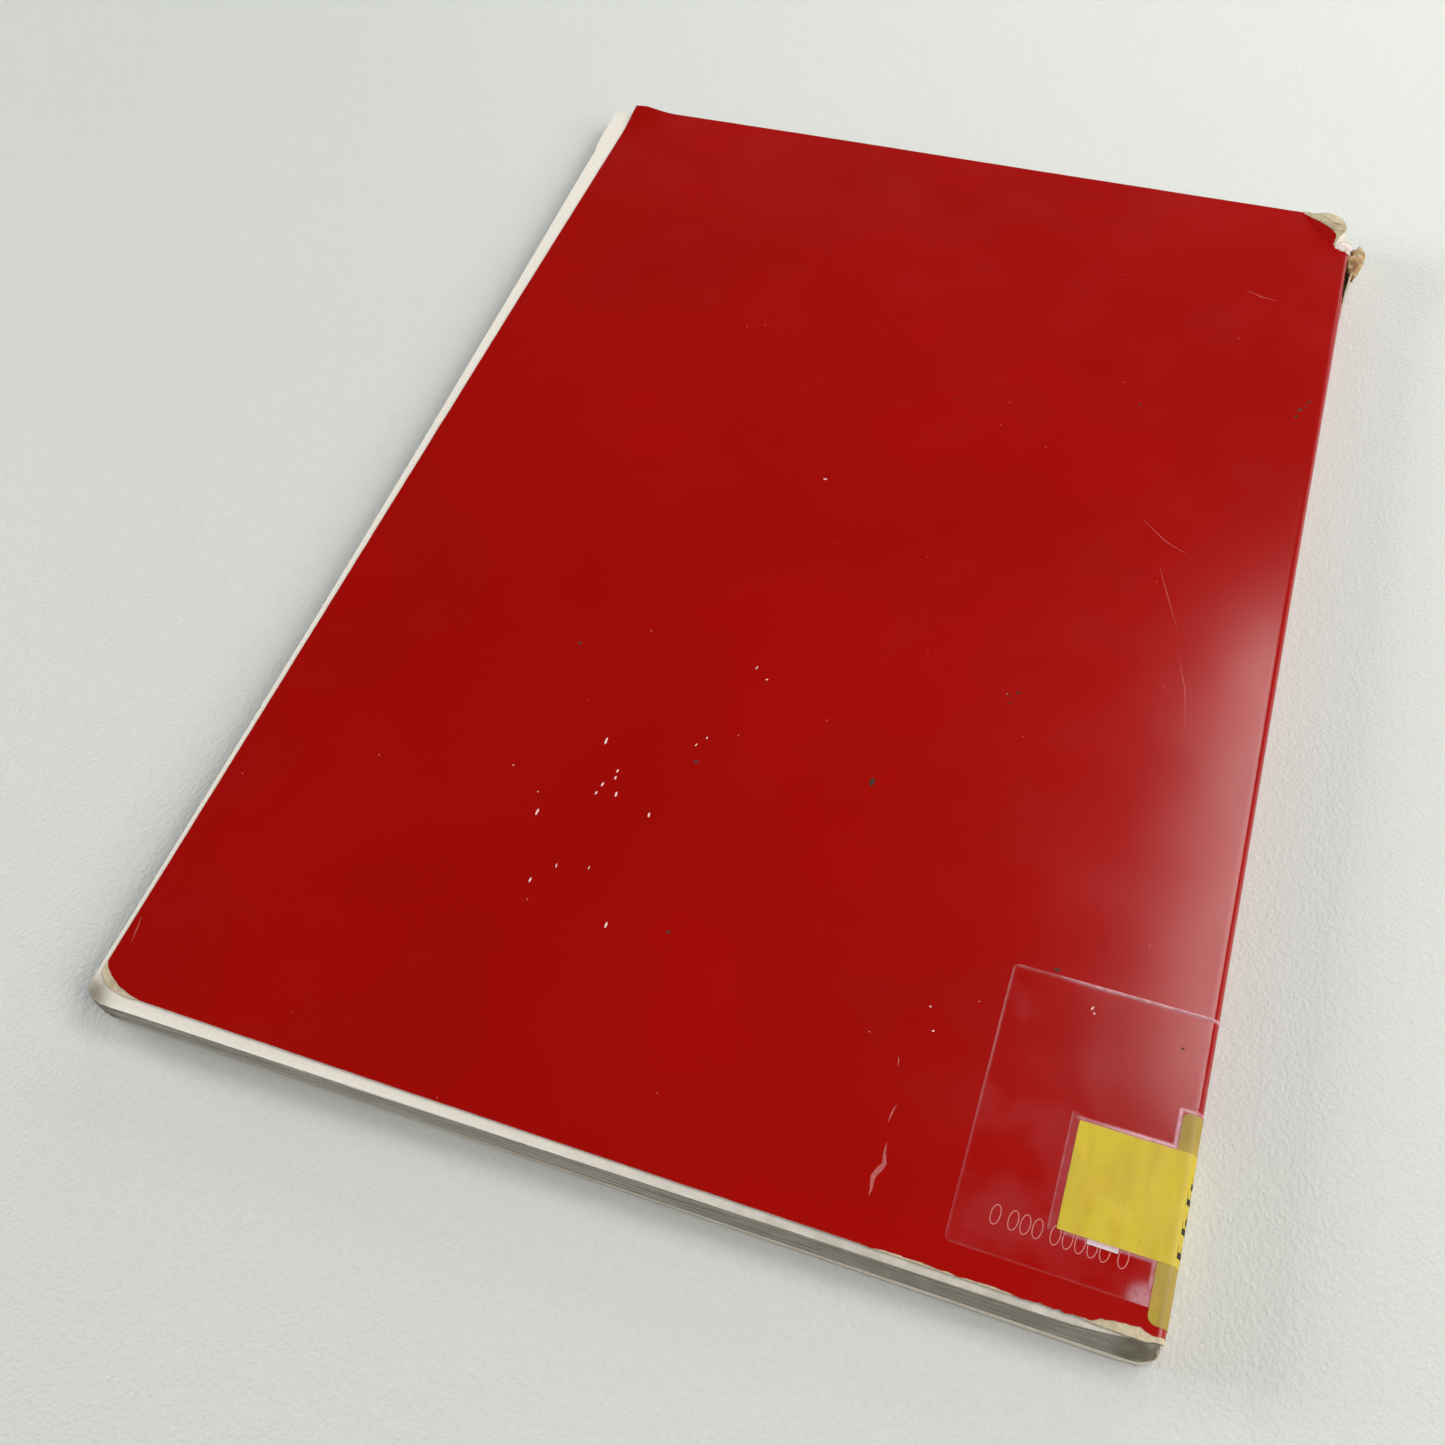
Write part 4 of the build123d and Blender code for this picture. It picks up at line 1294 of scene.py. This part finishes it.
def build_stage():
    """Pale table, soft panels and the camera."""
    scene = bpy.context.scene
    stage = scene.softback_stage
    scene.view_settings.view_transform = "Standard"
    # Half the table's width in metres, and its height, a little below the book's zero
    half, low = 6.0, -0.45 * MM
    mesh = bpy.data.meshes.new("table")
    mesh.from_pydata([(-half, -half, low), (half, -half, low), (half, half, low), (-half, half, low)],
                     [], [(0, 1, 2, 3)])
    mesh.materials.append(finish("table_top", table_top))
    new_object("table", mesh)

    world = bpy.data.worlds.new("dim_room")
    world.use_nodes = True
    tree = world.node_tree
    tree.nodes.clear()
    # Pale walls near the horizon and a dark room above them.
    heading = add(tree, "ShaderNodeTexCoord").outputs["Generated"]
    height = add(tree, "ShaderNodeSeparateXYZ", inputs={0: heading}).outputs["Z"]
    glow = add(tree, "ShaderNodeMapRange", {"interpolation_type": "SMOOTHSTEP"}, {
        "Value": height, "From Min": 0.1, "From Max": 0.4, "To Min": 0.55, "To Max": 0.04}).outputs[0]
    sky = add(tree, "ShaderNodeBackground", inputs={"Color": hex_colour("#E9EBEF"), "Strength": glow})
    add(tree, "ShaderNodeOutputWorld", inputs={"Surface": sky.outputs[0]})
    scene.world = world

    # Each panel: name, place, point it faces, width, height, brightness, colour
    panels = (
        ("key_panel", (0.71, 0.575, 1.0), (0.71, 0.575, 0.0), 1.0, 0.56, stage.key_strength, "#FFFCF9"),
        ("right_panel", (1.5, -0.2, 1.1), (0.0, 0.0, 0.0), 1.2, 1.2, 5.0, "#FFFDFA"),
        ("back_panel", (0.1, 2.0, 0.5), (0.0, 0.0, 0.0), 2.4, 0.6, 3.4, "#FAFCFF"),
        ("left_panel", (-2.0, 0.1, 0.5), (0.0, 0.0, 0.0), 1.2, 0.6, 17.5, "#F8FBFF"),
        ("front_fill", (0.2, -1.3, 1.5), (0.0, 0.0, 0.0), 1.2, 1.0, 1.2, "#FFFFFF"),
    )
    for name, place, target, width, height, brightness, code in panels:
        light = bpy.data.lights.new(name, "AREA")
        light.shape = "RECTANGLE"
        light.size, light.size_y = width, height
        light.energy = brightness * math.pi * width * height
        light.color = hex_colour(code)[:3]
        holder = bpy.data.objects.new(name, light)
        scene.collection.objects.link(holder)
        holder.location = place
        facing = Vector(target) - Vector(place)
        holder.rotation_euler = facing.to_track_quat("-Z", "Y").to_euler()

    camera = bpy.data.cameras.new("camera")
    camera.lens, camera.sensor_width = stage.lens, 36.0
    camera.clip_start, camera.clip_end = 0.01, 20.0
    holder = bpy.data.objects.new("camera", camera)
    scene.collection.objects.link(holder)
    corner = at(0, 0, THICK)
    place = corner + Vector(stage.camera_from_corner)
    ahead = (corner + Vector(stage.look_from_corner) - place).normalized()
    right = ahead.cross(Vector((0, 0, 1))).normalized()
    up = right.cross(ahead)
    right, up = (right * math.cos(stage.roll) + up * math.sin(stage.roll),
                 up * math.cos(stage.roll) - right * math.sin(stage.roll))
    holder.matrix_world = Matrix.Translation(place) @ Matrix((right, up, -ahead)).transposed().to_4x4()
    scene.camera = holder


# ---------------------------------------------------------------- operators


class SOFTBACK_OT_stage(bpy.types.Operator):
    """Adds the table, the lights and the camera"""

    bl_idname = "softback.stage"
    bl_label = "Stage"

    def execute(self, context):
        build_stage()
        return {"FINISHED"}


class SOFTBACK_OT_front_cover(bpy.types.Operator):
    """Builds the front cover's board and film, with the fold to the spine"""

    bl_idname = "softback.front_cover"
    bl_label = "Front cover"

    def execute(self, context):
        build_front_cover()
        return {"FINISHED"}


class SOFTBACK_OT_spine(bpy.types.Operator):
    """Builds the spine's board and film, torn and peeled at the head"""

    bl_idname = "softback.spine"
    bl_label = "Spine"

    def execute(self, context):
        build_spine()
        return {"FINISHED"}


class SOFTBACK_OT_back_cover(bpy.types.Operator):
    """Builds the back cover's board and film, with the fold, the worn corner and the torn corner"""

    bl_idname = "softback.back_cover"
    bl_label = "Back cover"

    def execute(self, context):
        build_back_cover()
        return {"FINISHED"}


class SOFTBACK_OT_leaves(bpy.types.Operator):
    """Builds the sections of leaves"""

    bl_idname = "softback.leaves"
    bl_label = "Leaves"

    def execute(self, context):
        build_leaves()
        return {"FINISHED"}


class SOFTBACK_OT_glue(bpy.types.Operator):
    """Builds the glue line and the torn lump of glue at the head"""

    bl_idname = "softback.glue"
    bl_label = "Glue"

    def execute(self, context):
        build_glue()
        return {"FINISHED"}


class SOFTBACK_OT_torn_head(bpy.types.Operator):
    """Builds the split board, pulp and fibres of the torn corner"""

    bl_idname = "softback.torn_head"
    bl_label = "Torn head"

    def execute(self, context):
        build_torn_head()
        return {"FINISHED"}


class SOFTBACK_OT_labels(bpy.types.Operator):
    """Lays the two labels and the slip of paper on the cover"""

    bl_idname = "softback.labels"
    bl_label = "Labels"

    def execute(self, context):
        build_labels()
        return {"FINISHED"}


class SOFTBACK_OT_clear_patch(bpy.types.Operator):
    """Lays the clear film over the labels"""

    bl_idname = "softback.clear_patch"
    bl_label = "Clear patch"

    def execute(self, context):
        build_clear_patch()
        return {"FINISHED"}


class SOFTBACK_OT_print_rings(bpy.types.Operator):
    """Prints the row of plain rings"""

    bl_idname = "softback.print_rings"
    bl_label = "Printed rings"

    def execute(self, context):
        build_print()
        return {"FINISHED"}


class SOFTBACK_OT_marks(bpy.types.Operator):
    """Adds the nicks, specks and scuffs of use"""

    bl_idname = "softback.marks"
    bl_label = "Marks of use"

    def execute(self, context):
        build_marks()
        return {"FINISHED"}


OPERATORS = (
    SOFTBACK_OT_stage, SOFTBACK_OT_front_cover, SOFTBACK_OT_spine, SOFTBACK_OT_back_cover,
    SOFTBACK_OT_leaves, SOFTBACK_OT_glue, SOFTBACK_OT_torn_head, SOFTBACK_OT_labels,
    SOFTBACK_OT_clear_patch, SOFTBACK_OT_print_rings, SOFTBACK_OT_marks,
)


class SOFTBACK_PT_build(bpy.types.Panel):
    """Lists the book's pieces"""

    bl_idname = "SOFTBACK_PT_build"
    bl_label = "Softback book"
    bl_space_type = "VIEW_3D"
    bl_region_type = "UI"
    bl_category = "Softback"

    def draw(self, context):
        scene = context.scene
        for group in (scene.softback_sizes, scene.softback_colours, scene.softback_stage):
            box = self.layout.box()
            for key in group.__annotations__:
                box.prop(group, key)
        for operator in OPERATORS:
            self.layout.operator(operator.bl_idname)


GROUPS = (
    ("softback_sizes", SoftbackSizes), ("softback_colours", SoftbackColours),
    ("softback_stage", SoftbackStage),
)


def register():
    for name, group in GROUPS:
        bpy.utils.register_class(group)
        setattr(bpy.types.Scene, name, PointerProperty(type=group))
    for operator in OPERATORS:
        bpy.utils.register_class(operator)
    bpy.utils.register_class(SOFTBACK_PT_build)


def unregister():
    bpy.utils.unregister_class(SOFTBACK_PT_build)
    for operator in reversed(OPERATORS):
        bpy.utils.unregister_class(operator)
    for name, group in reversed(GROUPS):
        delattr(bpy.types.Scene, name)
        bpy.utils.unregister_class(group)


def main():
    """Registers the add-on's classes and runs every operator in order."""
    register()
    for operator in OPERATORS:
        family, action = operator.bl_idname.split(".")
        getattr(getattr(bpy.ops, family), action)()


if __name__ == "__main__":
    main()
